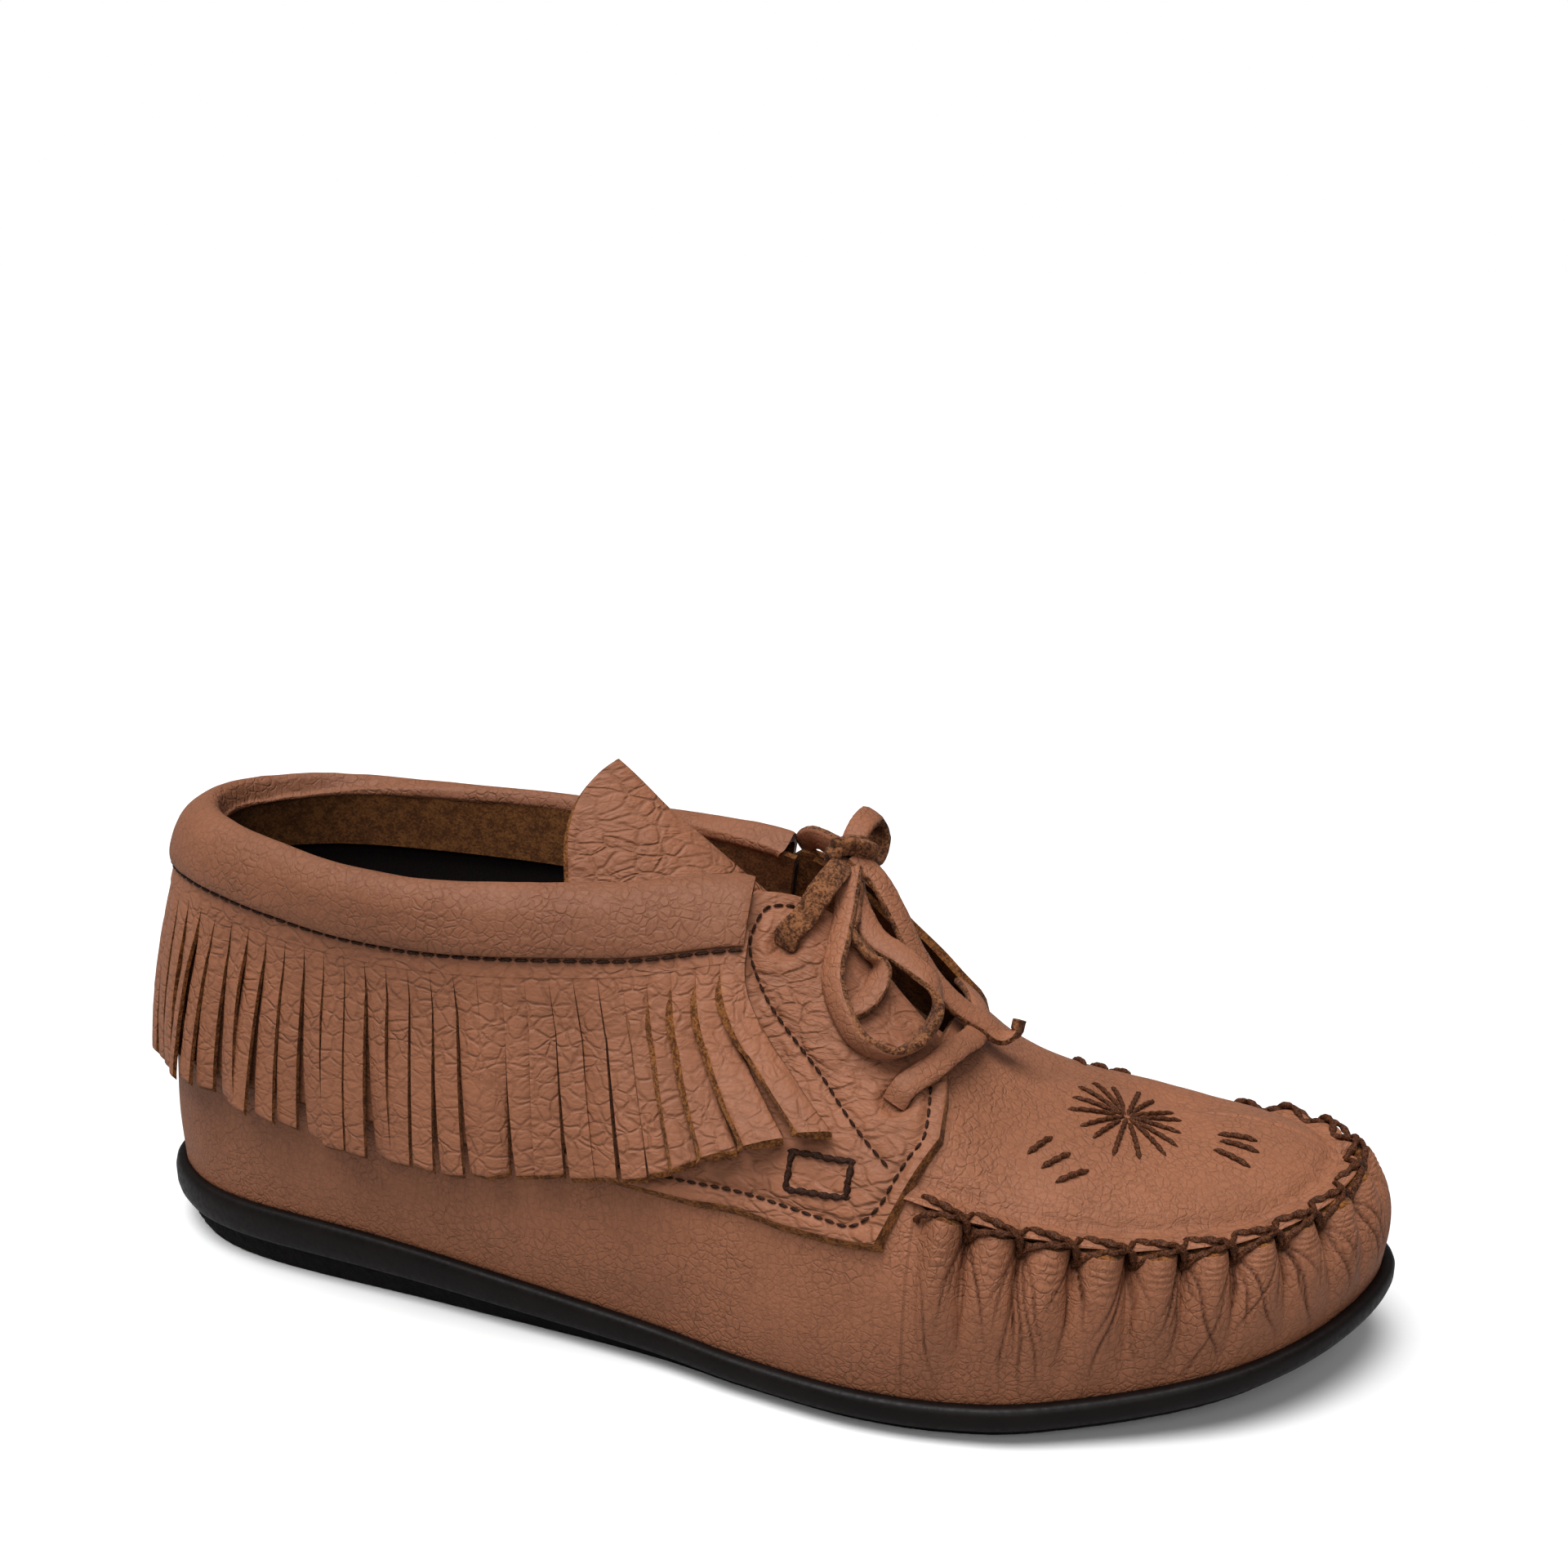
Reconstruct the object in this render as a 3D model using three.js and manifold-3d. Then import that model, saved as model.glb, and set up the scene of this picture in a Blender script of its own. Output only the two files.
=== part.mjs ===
// Ankle-high fringed moccasin for the right foot, laced at the front, on a moulded rubber sole.
// Millimetres. +X points to the toe, +Y to the inner side of the foot, +Z up.
// The origin is on the ground, half way along the sole, on the flat part of the tread.
import * as THREE from "three";
import Module from "manifold-3d";

// ---------------------------------------------------------------- driving dimensions
// The shape of the last. Each row is one station, going round the shoe from the middle of the
// heel, along the outer side to the toe and back along the inner side. A station is a curve
// from the foot line (where the leather meets the sole) to the top line (collar, lacing edge
// or ridge of the instep): [foot x, foot y, top x, top y, top z, squareness].
const STATIONS = [
  [-128, 0, -113, 3, 94, 1.6],
  [-120, -15, -106, -10, 93.5, 1.8],
  [-99, -25.5, -87, -21, 92.5, 1.7],
  [-52, -32, -56, -28.5, 91, 1.5],
  [-8, -38, -20, -21, 90.3, 1.4],
  [15, -43.5, 13, -8.5, 89.5, 1.5],
  [37, -47.5, 38, -6.5, 71, 1.9],
  [56, -47, 58, 2, 54, 2.8],
  [73, -43, 72, 6, 49, 3],
  [103, -29.5, 84, 8, 45.5, 2.7],
  [121, -11, 89, 9, 45, 2.6],
  [128.5, 11, 91, 10, 44.5, 2.5],
  [118.5, 28.5, 89, 11, 44, 2.3],
  [94, 35.5, 82, 12, 45.5, 2.3],
  [52, 40.5, 58, 10.5, 53, 2.1],
  [25, 37, 33, 14.5, 74, 1.9],
  [0, 32.5, 10, 16.5, 90, 1.5],
  [-45, 28.5, -40, 31, 91.5, 1.5],
  [-99, 26.5, -87, 27, 93, 1.6],
  [-120, 15.5, -107, 15, 93.8, 1.8],
];
const ROUND = STATIONS.length;
// How far the wall swells outwards half way up, by station.
const SWELL = [[0, 0.5], [2, 1.5], [4, 3], [6, 2.5], [9, 1.5], [11, 1], [13, 1.5], [16, 2.5],
  [18, 1.5], [20, 0.5]];

const GAP = 0.3; // left between neighbouring pieces
const LEATHER = 1.5;
const SUEDE = 1.3;
const QUARTER_OFF = 0.45; // the ankle leather lies over the gathered leather
const TOE_SPRING = 11.5; // lift of the sole at the tip of the toe
const HEEL_SOLE = 14.5; // whole thickness of the rubber under the heel
const FRONT_SOLE = 7.6; // and under the ball of the foot
const TREAD_HEEL = 6.5; // of which the rough tread layer
const TREAD_FRONT = 2.6;
const RIM_OUT = 2.6; // the rubber stands out beyond the foot line
const PUCKER_PITCH = 9.8;
const PUCKER_DEPTH = 2.2;
const STRAND_WIDTH = 4.7;
const FRINGE_SHARES = [0, 0.13, 0.33, 0.64, 1]; // where one side's fringe is parted into groups
const LACE_WIDTH = 5;
const LACE_THICK = 1.8;

// Curves on the last, as [station, height along the station's curve from 0 to 1].
const WRAP_TOP = [[0, 0.5], [4, 0.46], [6.4, 0.46], [7.3, 0.42], [8.3, 0.385], [9, 0.38],
  [10, 0.4], [10.85, 0.43], [11.4, 0.45], [12.4, 0.5], [13.3, 0.48], [14.4, 0.46], [16, 0.46],
  [20, 0.5]];
const QUARTER_FOOT = [[0, 0.36], [2.5, 0.36], [3.5, 0.37], [4.6, 0.33], [5.35, 0.33],
  [6.2, 0.36]];
const QUARTER_FRONT = [[0.36, 6.2], [0.46, 6.4], [0.57, 6.5], [0.72, 6.54], [0.84, 6.46],
  [1, 6.3]];
const CUFF_FRONT = 4.88; // station of the front end of the cuff, outer side
const CUFF_FOOT = 0.845;
const STRAND_TOP = [[0, 0.79], [2, 0.79], [3.5, 0.8], [4.9, 0.82]];
const STRAND_END = [[0, 0.3], [1.2, 0.32], [2, 0.31], [2.6, 0.25], [3.2, 0.27], [3.65, 0.33],
  [4.4, 0.39], [5, 0.44], [5.7, 0.55]];

// ---------------------------------------------------------------- colours
const COLOURS = {
  leather: 0x8a563e, suede: 0x9a6a3c, lining: 0x2e1613, rubber: 0x231a18, thread: 0x32180f,
};
const slot = (name) =>
  Object.assign(
    new THREE.MeshStandardMaterial({ color: COLOURS[name], roughness: 0.8 }),
    { name },
  );
const MATERIALS = Object.fromEntries(Object.keys(COLOURS).map((k) => [k, slot(k)]));

// ---------------------------------------------------------------- the last
const clamp = (x, lo, hi) => Math.min(hi, Math.max(lo, x));
const lerp = (a, b, t) => a + (b - a) * t;
const vec = (x, y, z) => new THREE.Vector3(x, y, z);

// Straight-line lookup in a list of [x, value] pairs.
function lookup(pairs, x) {
  let i = 1;
  while (i < pairs.length - 1 && x > pairs[i][0]) i++;
  const [a, b] = [pairs[i - 1], pairs[i]];
  return lerp(a[1], b[1], clamp((x - a[0]) / (b[0] - a[0]), 0, 1));
}

// The row of the station table at any place round the shoe, by a smooth closed curve.
function station(u) {
  const v = ((u % ROUND) + ROUND) % ROUND;
  const i = Math.floor(v);
  const f = v - i;
  const [a, b, c, d] = [-1, 0, 1, 2].map((k) => STATIONS[(i + k + ROUND) % ROUND]);
  return b.map(
    (q, k) =>
      0.5 * (2 * q + (c[k] - a[k]) * f + (2 * a[k] - 5 * q + 4 * c[k] - d[k]) * f * f +
        (3 * q - a[k] - 3 * c[k] + d[k]) * f * f * f),
  );
}

const groundZ = (x) => TOE_SPRING * clamp((x - 47) / 84, 0, 1.1) ** 2;
const ease = (t) => t * t * (3 - 2 * t);
const forward = (x) => ease(clamp((x + 92) / 118, 0, 1)); // 0 under the heel, 1 at the ball
const soleTop = (x) => groundZ(x) + lerp(HEEL_SOLE, FRONT_SOLE, forward(x));
const treadTop = (x) => groundZ(x) + lerp(TREAD_HEEL, TREAD_FRONT, forward(x));

// Level direction pointing out of the shoe at the foot line.
function outward(u) {
  const [a, b] = [station(u - 0.001), station(u + 0.001)];
  return vec(b[1] - a[1], a[0] - b[0], 0).normalize();
}

// The station's curve as points spaced along it, with the length up to each.
const curves = new Map();
function curveAt(u) {
  const key = (((u % ROUND) + ROUND) % ROUND).toFixed(4);
  if (curves.has(key)) return curves.get(key);
  const [fx, fy, tx, ty, tz, n] = station(u);
  const foot = soleTop(fx);
  const side = outward(u);
  const swell = lookup(SWELL, Number(key));
  const points = [];
  const lengths = [0];
  for (let i = 0; i < 49; i++) {
    const a = (i / 48) * (Math.PI / 2);
    const rise = (tz - foot) * Math.sin(a) ** (2 / n);
    const run = 1 - Math.max(0, Math.cos(a)) ** (2 / n);
    const p = vec(lerp(fx, tx, run), lerp(fy, ty, run), foot + rise);
    p.addScaledVector(side, swell * Math.sin(Math.PI * Math.min(1, rise / 55)));
    points.push(p);
    if (i) lengths.push(lengths[i - 1] + p.distanceTo(points[i - 1]));
  }
  curves.set(key, { points, lengths, total: lengths[48] });
  return curves.get(key);
}

function skin(u, w) {
  const { points, lengths, total } = curveAt(u);
  const s = clamp(w, 0, 1) * total;
  let i = 1;
  while (i < 48 && lengths[i] < s) i++;
  const t = (s - lengths[i - 1]) / Math.max(1e-9, lengths[i] - lengths[i - 1]);
  return points[i - 1].clone().lerp(points[i], t);
}

// A point off the last: d millimetres out along its normal.
function off(u, w, d) {
  const [lo, hi] = [Math.max(0, w - 0.02), Math.min(1, w + 0.02)];
  const along = skin(u + 0.02, w).sub(skin(u - 0.02, w));
  const up = skin(u, hi).sub(skin(u, lo));
  return skin(u, w).addScaledVector(along.cross(up).normalize(), d);
}

// ---------------------------------------------------------------- solids
// One closed solid from rows of two facing layers of points: each row is {out, inn}.
// ring joins the last row to the first; pinched leaves the first row without an end wall,
// because its points fold together there.
function slab(rows, { ring = false, pinched = false } = {}) {
  const n = rows[0].out.length;
  const loops = rows.map((r) => [...r.out, ...[...r.inn].reverse()]);
  const count = loops.length;
  const points = loops.flat();
  const at = (i, j) => (i % count) * 2 * n + (j % (2 * n));
  const faces = [];
  for (let i = 0; i < (ring ? count : count - 1); i++)
    for (let j = 0; j < 2 * n; j++) {
      const [a, b, c, d] = [at(i, j), at(i + 1, j), at(i + 1, j + 1), at(i, j + 1)];
      // Both layers are split along the same diagonal, so that neighbours nest.
      faces.push(...(j < n ? [[a, b, c], [a, c, d]] : [[a, b, d], [b, c, d]]));
    }
  const wall = (i, flip) => {
    for (let j = 0; j < n - 1; j++) {
      const [a, b, c, d] = [at(i, j), at(i, j + 1), at(i, 2 * n - 2 - j), at(i, 2 * n - 1 - j)];
      faces.push(...(flip ? [[a, c, b], [a, d, c]] : [[a, b, c], [a, c, d]]));
    }
  };
  if (!ring && !pinched) wall(0, false);
  if (!ring) wall(count - 1, true);
  return facesToGeometry(points, faces);
}

// Triangles turned so that the solid's volume is positive.
function facesToGeometry(points, faces) {
  const volume = faces.reduce(
    (v, [a, b, c]) => v + points[a].dot(points[b].clone().cross(points[c])) / 6, 0);
  const turned = volume < 0 ? faces.map(([a, b, c]) => [a, c, b]) : faces;
  const geometry = new THREE.BufferGeometry();
  geometry.setAttribute(
    "position",
    new THREE.Float32BufferAttribute(turned.flat().flatMap((i) => points[i].toArray()), 3),
  );
  geometry.computeVertexNormals();
  return geometry;
}

// Evenly spaced numbers from a to b, with n steps.
const spread = (a, b, n) => Array.from({ length: n + 1 }, (_, i) => lerp(a, b, i / n));

// A piece lying on the last between two heights, with its outer face at d1 and inner at d0.
// place(s, t) gives [station, height]; s runs along the piece and t up it.
function panel(place, steps, rise, d0, d1) {
  const rows = steps.map((s) => ({
    out: spread(0, 1, rise).map((t) => off(...place(s, t), d1)),
    inn: spread(0, 1, rise).map((t) => off(...place(s, t), d0)),
  }));
  return slab(rows);
}

// A round thread or bead through points.
function thread(points, radius, { sides = 5, steps = points.length * 3, closed = false } = {}) {
  const path = new THREE.CatmullRomCurve3(points, closed, "centripetal");
  const frames = path.computeFrenetFrames(steps, closed);
  const rows = [];
  for (let i = 0; i <= (closed ? steps - 1 : steps); i++) {
    const centre = path.getPointAt(i / steps);
    const loop = spread(0, 2 * Math.PI, sides).slice(0, sides).map((a) =>
      centre.clone()
        .addScaledVector(frames.normals[i], radius * Math.cos(a))
        .addScaledVector(frames.binormals[i], radius * Math.sin(a)));
    rows.push(loop);
  }
  return loft(rows, closed);
}

// One closed solid from loops of points; the ends are closed by fans.
function loft(loops, ring = false) {
  const m = loops[0].length;
  const count = loops.length;
  const points = loops.flat();
  const at = (i, j) => (i % count) * m + (j % m);
  const faces = [];
  for (let i = 0; i < (ring ? count : count - 1); i++)
    for (let j = 0; j < m; j++)
      faces.push([at(i, j), at(i + 1, j), at(i + 1, j + 1)],
        [at(i, j), at(i + 1, j + 1), at(i, j + 1)]);
  if (!ring)
    for (let j = 1; j < m - 1; j++)
      faces.push([at(0, 0), at(0, j), at(0, j + 1)],
        [at(count - 1, 0), at(count - 1, j + 1), at(count - 1, j)]);
  return facesToGeometry(points, faces);
}

// A flat strap: rows of [centre, direction across], with a rectangular section.
function strap(rows, width = LACE_WIDTH, thick = LACE_THICK, steps = 4 * (rows.length - 1)) {
  const centres = new THREE.CatmullRomCurve3(rows.map((r) => vec(...r[0])), false, "centripetal");
  const loops = spread(0, 1, steps).map((t) => {
    const k = Math.min(rows.length - 2, Math.floor(t * (rows.length - 1)));
    const across = vec(...rows[k][1]).normalize()
      .lerp(vec(...rows[k + 1][1]).normalize(), t * (rows.length - 1) - k);
    const tangent = centres.getTangent(t);
    across.addScaledVector(tangent, -across.dot(tangent)).normalize();
    const face = tangent.cross(across).multiplyScalar(thick / 2);
    across.multiplyScalar(width / 2);
    const c = centres.getPoint(t);
    return [[1, 1], [-1, 1], [-1, -1], [1, -1]].map(([a, b]) =>
      c.clone().addScaledVector(across, a).addScaledVector(face, b));
  });
  return loft(loops);
}

const wasm = await Module();
wasm.setup();

function toManifold(geometry) {
  const position = geometry.getAttribute("position");
  const keys = new Map();
  const vertProperties = [];
  const triVerts = new Uint32Array(position.count);
  for (let i = 0; i < position.count; i++) {
    const p = [position.getX(i), position.getY(i), position.getZ(i)];
    const key = p.map((c) => c.toFixed(4)).join();
    if (!keys.has(key)) {
      keys.set(key, vertProperties.length / 3);
      vertProperties.push(...p);
    }
    triVerts[i] = keys.get(key);
  }
  const mesh = new wasm.Mesh({
    numProp: 3, vertProperties: new Float32Array(vertProperties), triVerts,
  });
  return new wasm.Manifold(mesh);
}

function fromManifold(solid) {
  const { numProp, vertProperties, triVerts } = solid.getMesh();
  const points = [];
  for (let i = 0; i < vertProperties.length; i += numProp)
    points.push(vec(...vertProperties.slice(i, i + 3)));
  const faces = [];
  for (let i = 0; i < triVerts.length; i += 3) faces.push([...triVerts.slice(i, i + 3)]);
  return facesToGeometry(points, faces);
}

// Punches round lace holes through a piece.
function punched(geometry, holes, radius = 3.3) {
  let solid = toManifold(geometry);
  for (const [u, w] of holes) {
    const [a, b] = [off(u, w, -8), off(u, w, 8)];
    const pin = new THREE.CylinderGeometry(radius, radius, 16, 10)
      .applyQuaternion(new THREE.Quaternion().setFromUnitVectors(
        vec(0, 1, 0), b.clone().sub(a).normalize()))
      .translate(...a.add(b).multiplyScalar(0.5).toArray())
      .toNonIndexed();
    solid = solid.subtract(toManifold(pin));
  }
  return fromManifold(solid);
}

// ---------------------------------------------------------------- the two sides
// Outer-side stations and how many stations back from the heel the same place is on the inner
// side.
const INNER_PLACE = [[0, 0], [2, 2], [3, 2.8], [4, 3.6], [4.88, 4], [5.3, 4.5], [6.3, 5.55],
  [7, 6]];
const SIDES = { outer: (u) => u, inner: (u) => ROUND - lookup(INNER_PLACE, u) };

const EYELETS = [[5.15, 0.89], [6.15, 0.7]];

// ---------------------------------------------------------------- sole
// The two long edges of the sole, set in from the rubber rim, as [x, y] pairs from heel to toe.
function soleEdges(inset) {
  const edge = (u) => {
    const [x, y] = station(u);
    const side = outward(u).multiplyScalar(RIM_OUT - inset);
    return [x + side.x, y + side.y];
  };
  return [spread(0.01, 10.97, 110).map(edge), spread(ROUND - 0.01, 11.03, 110).map(edge)];
}

// A plate of the sole: levels are [inset, height above a surface, surface].
function plate(levels) {
  const edges = levels.map(([inset]) => soleEdges(inset));
  const steps = spread(0, Math.PI, 26).map((a) => (1 - Math.cos(a)) / 2);
  const rows = steps.map((s) => {
    const corner = (k, side) => {
      const [, rise, surface] = levels[k];
      const list = edges[k][side];
      const x = lerp(list[0][0], list[110][0], clamp(s, 0.002, 0.998));
      return vec(x, lookup(list, x), surface(x) + rise);
    };
    return { out: levels.map((_, k) => corner(k, 0)), inn: levels.map((_, k) => corner(k, 1)) };
  });
  return slab(rows);
}

const outsoleTread = () => plate([[5, 0, groundZ], [4, 0.8, groundZ], [3.6, -GAP, treadTop]]);
const outsoleRim = () => plate([[2.4, 0, treadTop], [0.6, 1.1, treadTop], [0, -3, soleTop],
  [0.9, -0.8, soleTop], [2.2, 0, soleTop]]);
const insoleBoard = () => plate([[5.6, 2.1, soleTop], [5.6, 3.3, soleTop]]);
const footbed = () => plate([[7, 3.6, soleTop], [6.6, 5, soleTop], [7.4, 6.4, soleTop]]);

// ---------------------------------------------------------------- the leather round the foot
const wrapTop = (u) => lookup(WRAP_TOP, u);

// Stations at even distances along a line on the last, a whole number of pitches apart.
function evenStations(from, to, height, pitch, parts = 1) {
  const fine = spread(from, to, 400);
  const table = [[0, from]];
  for (let i = 1; i < fine.length; i++) {
    const step = skin(fine[i], height(fine[i])).distanceTo(skin(fine[i - 1], height(fine[i - 1])));
    table.push([table[i - 1][0] + step, fine[i]]);
  }
  const total = table[400][0];
  const count = parts * Math.round(total / pitch);
  return spread(0, total, count).map((s) => lookup(table, s));
}
const SEAM = evenStations(6.5, 14.2, wrapTop, PUCKER_PITCH, 4); // four stations to each pucker

// Height of the gathered leather above the last: broad folds between sharp creases.
function pucker(index, w, top) {
  const across = Math.abs(Math.sin((index * Math.PI) / 4)) ** 0.7;
  const fade = clamp(w / top, 0, 1) ** 1.4;
  const ends = clamp(Math.min(index, SEAM.length - 1 - index) / 6, 0, 1);
  return PUCKER_DEPTH * across * fade * ends;
}

// Side wall of the shoe with the margin that is turned under the foot.
function wrap() {
  const plain = spread(14.7, 26.1, 22).map((u) => [u % ROUND, -1]);
  const stops = [...SEAM.map((u, i) => [u, i]), ...plain];
  const rows = stops.map(([u, i]) => {
    const top = wrapTop(u);
    const heights = spread(top, 0.03, 3);
    const raise = (w) => (i < 0 ? 0 : pucker(i, w, top));
    const [x, y] = station(u);
    const side = outward(u);
    const under = (inset, rise) => {
      const p = vec(x, y, 0).addScaledVector(side, -inset);
      return p.setZ(soleTop(p.x) + rise);
    };
    return {
      out: [...heights.map((w) => off(u, w, raise(w))), under(0.3, GAP), under(8, GAP)],
      inn: [...heights.map((w) => off(u, w, raise(w) - LEATHER)),
        under(LEATHER + 0.3, GAP + LEATHER), under(8, GAP + LEATHER)],
    };
  });
  return slab(rows, { ring: true });
}

// Top of the forefoot, inside the gathered seam and back under the lacing flaps.
function plug() {
  const backs = { outer: 6.34, inner: 14.4 };
  const rows = spread(0, 1, 16).map((s) => {
    const sweep = 1 - (1 - s) ** 1.2;
    const side = (back, t) => {
      const u = lerp(11, back, sweep);
      const edge = wrapTop(u) + 0.028;
      return [u, lerp(edge, 1, t)];
    };
    const row = (d) => [
      ...spread(0, 1, 5).map((t) => off(...side(backs.outer, t), d)),
      ...spread(1, 0, 5).map((t) => off(...side(backs.inner, t), d)),
    ];
    const tuck = -0.45 * s ** 3; // the back of the plug lies under the lacing flaps
    return { out: row(tuck), inn: row(tuck - LEATHER) };
  });
  const tip = rows[0];
  for (const layer of [tip.out, tip.inn])
    for (let j = 0; j < 6; j++) layer[11 - j].copy(layer[j]);
  return slab(rows, { pinched: true });
}

// The whipstitched cord lying over the seam between gathered leather and plug.
function plugSeamCord() {
  const points = spread(6.62, 14.1, 36).map((u) => off(u, wrapTop(u) + 0.03, 1.75));
  return thread(points, 0.9, { sides: 5, steps: 50 });
}

// Raised seam up the back of the heel.
const backSeam = () =>
  panel((s, t) => [s, lerp(0.03, 0.33, t)], [-0.12, 0.12], 4, GAP, 2.2);

// ---------------------------------------------------------------- ankle pieces
const quarterFoot = (u) => lookup(QUARTER_FOOT, u);
const quarterTop = (u) => lookup([[CUFF_FRONT, 0.935], [5, 0.985]], u);

function quarter(side) {
  const place = (s, t) => {
    const front = lookup(QUARTER_FRONT, lerp(0.36, 1, t));
    const u = lerp(0.025, front, s);
    return [side(u), lerp(quarterFoot(u), quarterTop(u), t)];
  };
  const steps = [...spread(0, 0.72, 12), ...spread(0.76, 1, 6)];
  return punched(panel(place, steps, 5, QUARTER_OFF, QUARTER_OFF + LEATHER),
    EYELETS.map(([u, w]) => [side(u), w]));
}

// Reinforcing strip behind the lace holes.
function eyestay(side) {
  const place = (s, t) => {
    const u = lerp(4.95, 6.3, s);
    return [side(u), lerp(lerp(0.83, 0.56, s), 0.97, t)];
  };
  const rows = spread(0, 1, 9).map((s) => {
    const depth = lerp(-0.7, -2.3, ease(clamp((s - 0.5) / 0.3, 0, 1)));
    const layer = (d) => spread(0, 1, 3).map((t) => off(...place(s, t), d));
    return { out: layer(depth), inn: layer(depth - SUEDE) };
  });
  return punched(slab(rows), EYELETS.map(([u, w]) => [side(u), w]));
}

// Places from the front of the cuff on the outer side, round the heel, to the inner side.
function collarRun(front, steps) {
  return [
    ...spread(front, 0, steps).map((u) => SIDES.outer(u)),
    ...spread(0, front, steps).slice(1).map((u) => SIDES.inner(u)),
  ];
}

// Rolled leather band over the top edge.
function collarCuff() {
  const outer = [[CUFF_FOOT, 4.9], [0.88, 5.2], [0.93, 5], [0.97, 4], [0.992, 2.2], [1, 0],
    [0.99, -2.6], [0.965, -4.3], [0.93, -4.7]];
  const inner = [[CUFF_FOOT, 3.75], [0.88, 3.75], [0.93, 3.4], [0.955, 2.6], [0.962, 1.4],
    [0.965, 0], [0.962, -1.6], [0.955, -3], [0.93, -3.3]];
  const rows = collarRun(CUFF_FRONT, 12).map((u) => ({
    out: outer.map(([w, d]) => off(u, w, d)),
    inn: inner.map(([w, d]) => off(u, w, d)),
  }));
  return slab(rows);
}

// A lining of the ankle: heights up the stations, and how deep each lies under the last.
function ankleLayer(heights, depth) {
  const rows = collarRun(4.86, 12).map((u) => ({
    out: heights.map((w) => off(u, w, depth(w))),
    inn: heights.map((w) => off(u, w, depth(w) - SUEDE)),
  }));
  return slab(rows);
}

// Dark lining, set in behind the gathered leather lower down.
const ankleLining = () => ankleLayer([0.13, 0.35, 0.52, 0.58, 0.66, 0.73, 0.8, 0.93],
  (w) => lerp(-2.4, -0.2, ease(clamp((w - 0.52) / 0.12, 0, 1))));
const collarFacing = () => ankleLayer([0.73, 0.8, 0.925], () => -1.8);

// ---------------------------------------------------------------- fringe
const fringeHeader = () =>
  panel(
    (u, t) => {
      const low = lookup(STRAND_TOP, foldToOuter(u)) + 0.004;
      return [u, lerp(low, 0.875, t)];
    },
    collarRun(4.84, 14), 1, 2.4, 3.3);

// The matching outer-side station of any station, for heights that both sides share.
function foldToOuter(u) {
  const v = ((u % ROUND) + ROUND) % ROUND;
  if (v <= 10) return v;
  return lookup(INNER_PLACE.map(([outer, inner]) => [inner, outer]), ROUND - v);
}

// Ends of the strands reach forward of their tops near the lacing.
const strandEndPlace = (u) => lookup([[0, 0], [3.6, 3.62], [4.3, 4.5], [4.9, 5.75]], u);

// A group of strands cut from one strip, hanging from a short bar.
function fringeGroup(side, edges) {
  const slit = 0.06;
  const points = [];
  const faces = [];
  const rowAt = (u, t) => {
    const [top, end] = [lookup(STRAND_TOP, u), lookup(STRAND_END, strandEndPlace(u))];
    const along = lerp(u, strandEndPlace(u), t ** 1.3);
    return [side(along), lerp(top, end, t)];
  };
  const count = edges.length - 1;
  const push = (u, t, d) => points.push(off(...rowAt(u, t), d)) - 1;
  const levels = [0, 0.045, 0.5, 1];
  const lift = (t) => 2.4 + 1.1 * Math.sin(Math.PI * t * 0.5);
  const column = (u) => levels.map((t) => [push(u, t, lift(t) + 1.1), push(u, t, lift(t))]);
  const quad = (a, b, c, d) => faces.push([a, b, c], [a, c, d]);
  let previous = null;
  for (let k = 0; k < count; k++) {
    const step = edges[k + 1] - edges[k];
    const left = column(edges[k] + step * slit);
    const right = column(edges[k + 1] - step * slit);
    for (let i = 0; i < levels.length - 1; i++) {
      quad(left[i][0], right[i][0], right[i + 1][0], left[i + 1][0]);
      quad(left[i][1], left[i + 1][1], right[i + 1][1], right[i][1]);
      if (i > 0 || k === 0) quad(left[i][0], left[i + 1][0], left[i + 1][1], left[i][1]);
      if (i > 0 || k === count - 1)
        quad(right[i][0], right[i][1], right[i + 1][1], right[i + 1][0]);
    }
    quad(left[0][0], left[0][1], right[0][1], right[0][0]);
    quad(left[3][0], right[3][0], right[3][1], left[3][1]);
    if (previous) {
      quad(previous[0][0], left[0][0], left[1][0], previous[1][0]);
      quad(previous[0][1], previous[1][1], left[1][1], left[0][1]);
      quad(previous[0][0], previous[0][1], left[0][1], left[0][0]);
      quad(previous[1][0], left[1][0], left[1][1], previous[1][1]);
    }
    previous = right;
  }
  return facesToGeometry(points, faces);
}

// ---------------------------------------------------------------- tongue
// Middle line of the tongue as [x, z], from its stitched base up and back to its tip.
const TONGUE_LINE = [[49, 50.5], [38, 56.5], [25, 66], [3, 84], [-11, 96], [-24, 107.5]];
const TONGUE_HALF = [[0, 19], [0.3, 17.5], [0.6, 15.5], [0.92, 15], [0.97, 13.5], [1, 11]];

function tongue() {
  const line = new THREE.CatmullRomCurve3(
    TONGUE_LINE.map(([x, z]) => vec(x, 0, z)), false, "centripetal");
  const rows = spread(0, 1, 11).map((s) => {
    const centre = line.getPointAt(s);
    const tangent = line.getTangentAt(s);
    const up = vec(tangent.z, 0, -tangent.x).normalize();
    const half = lookup(TONGUE_HALF, s);
    const droop = lerp(10, 15, s);
    const row = (d) => spread(-1, 1, 7).map((v) =>
      centre.clone().setY(lerp(7, 4, s) + v * half).addScaledVector(up, d - droop * v * v));
    return { out: row(0), inn: row(-1.4) };
  });
  return slab(rows);
}

// ---------------------------------------------------------------- stitching
const onQuarter = (side, list, d) => list.map(([u, w]) => off(side(u), w, d));

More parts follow.
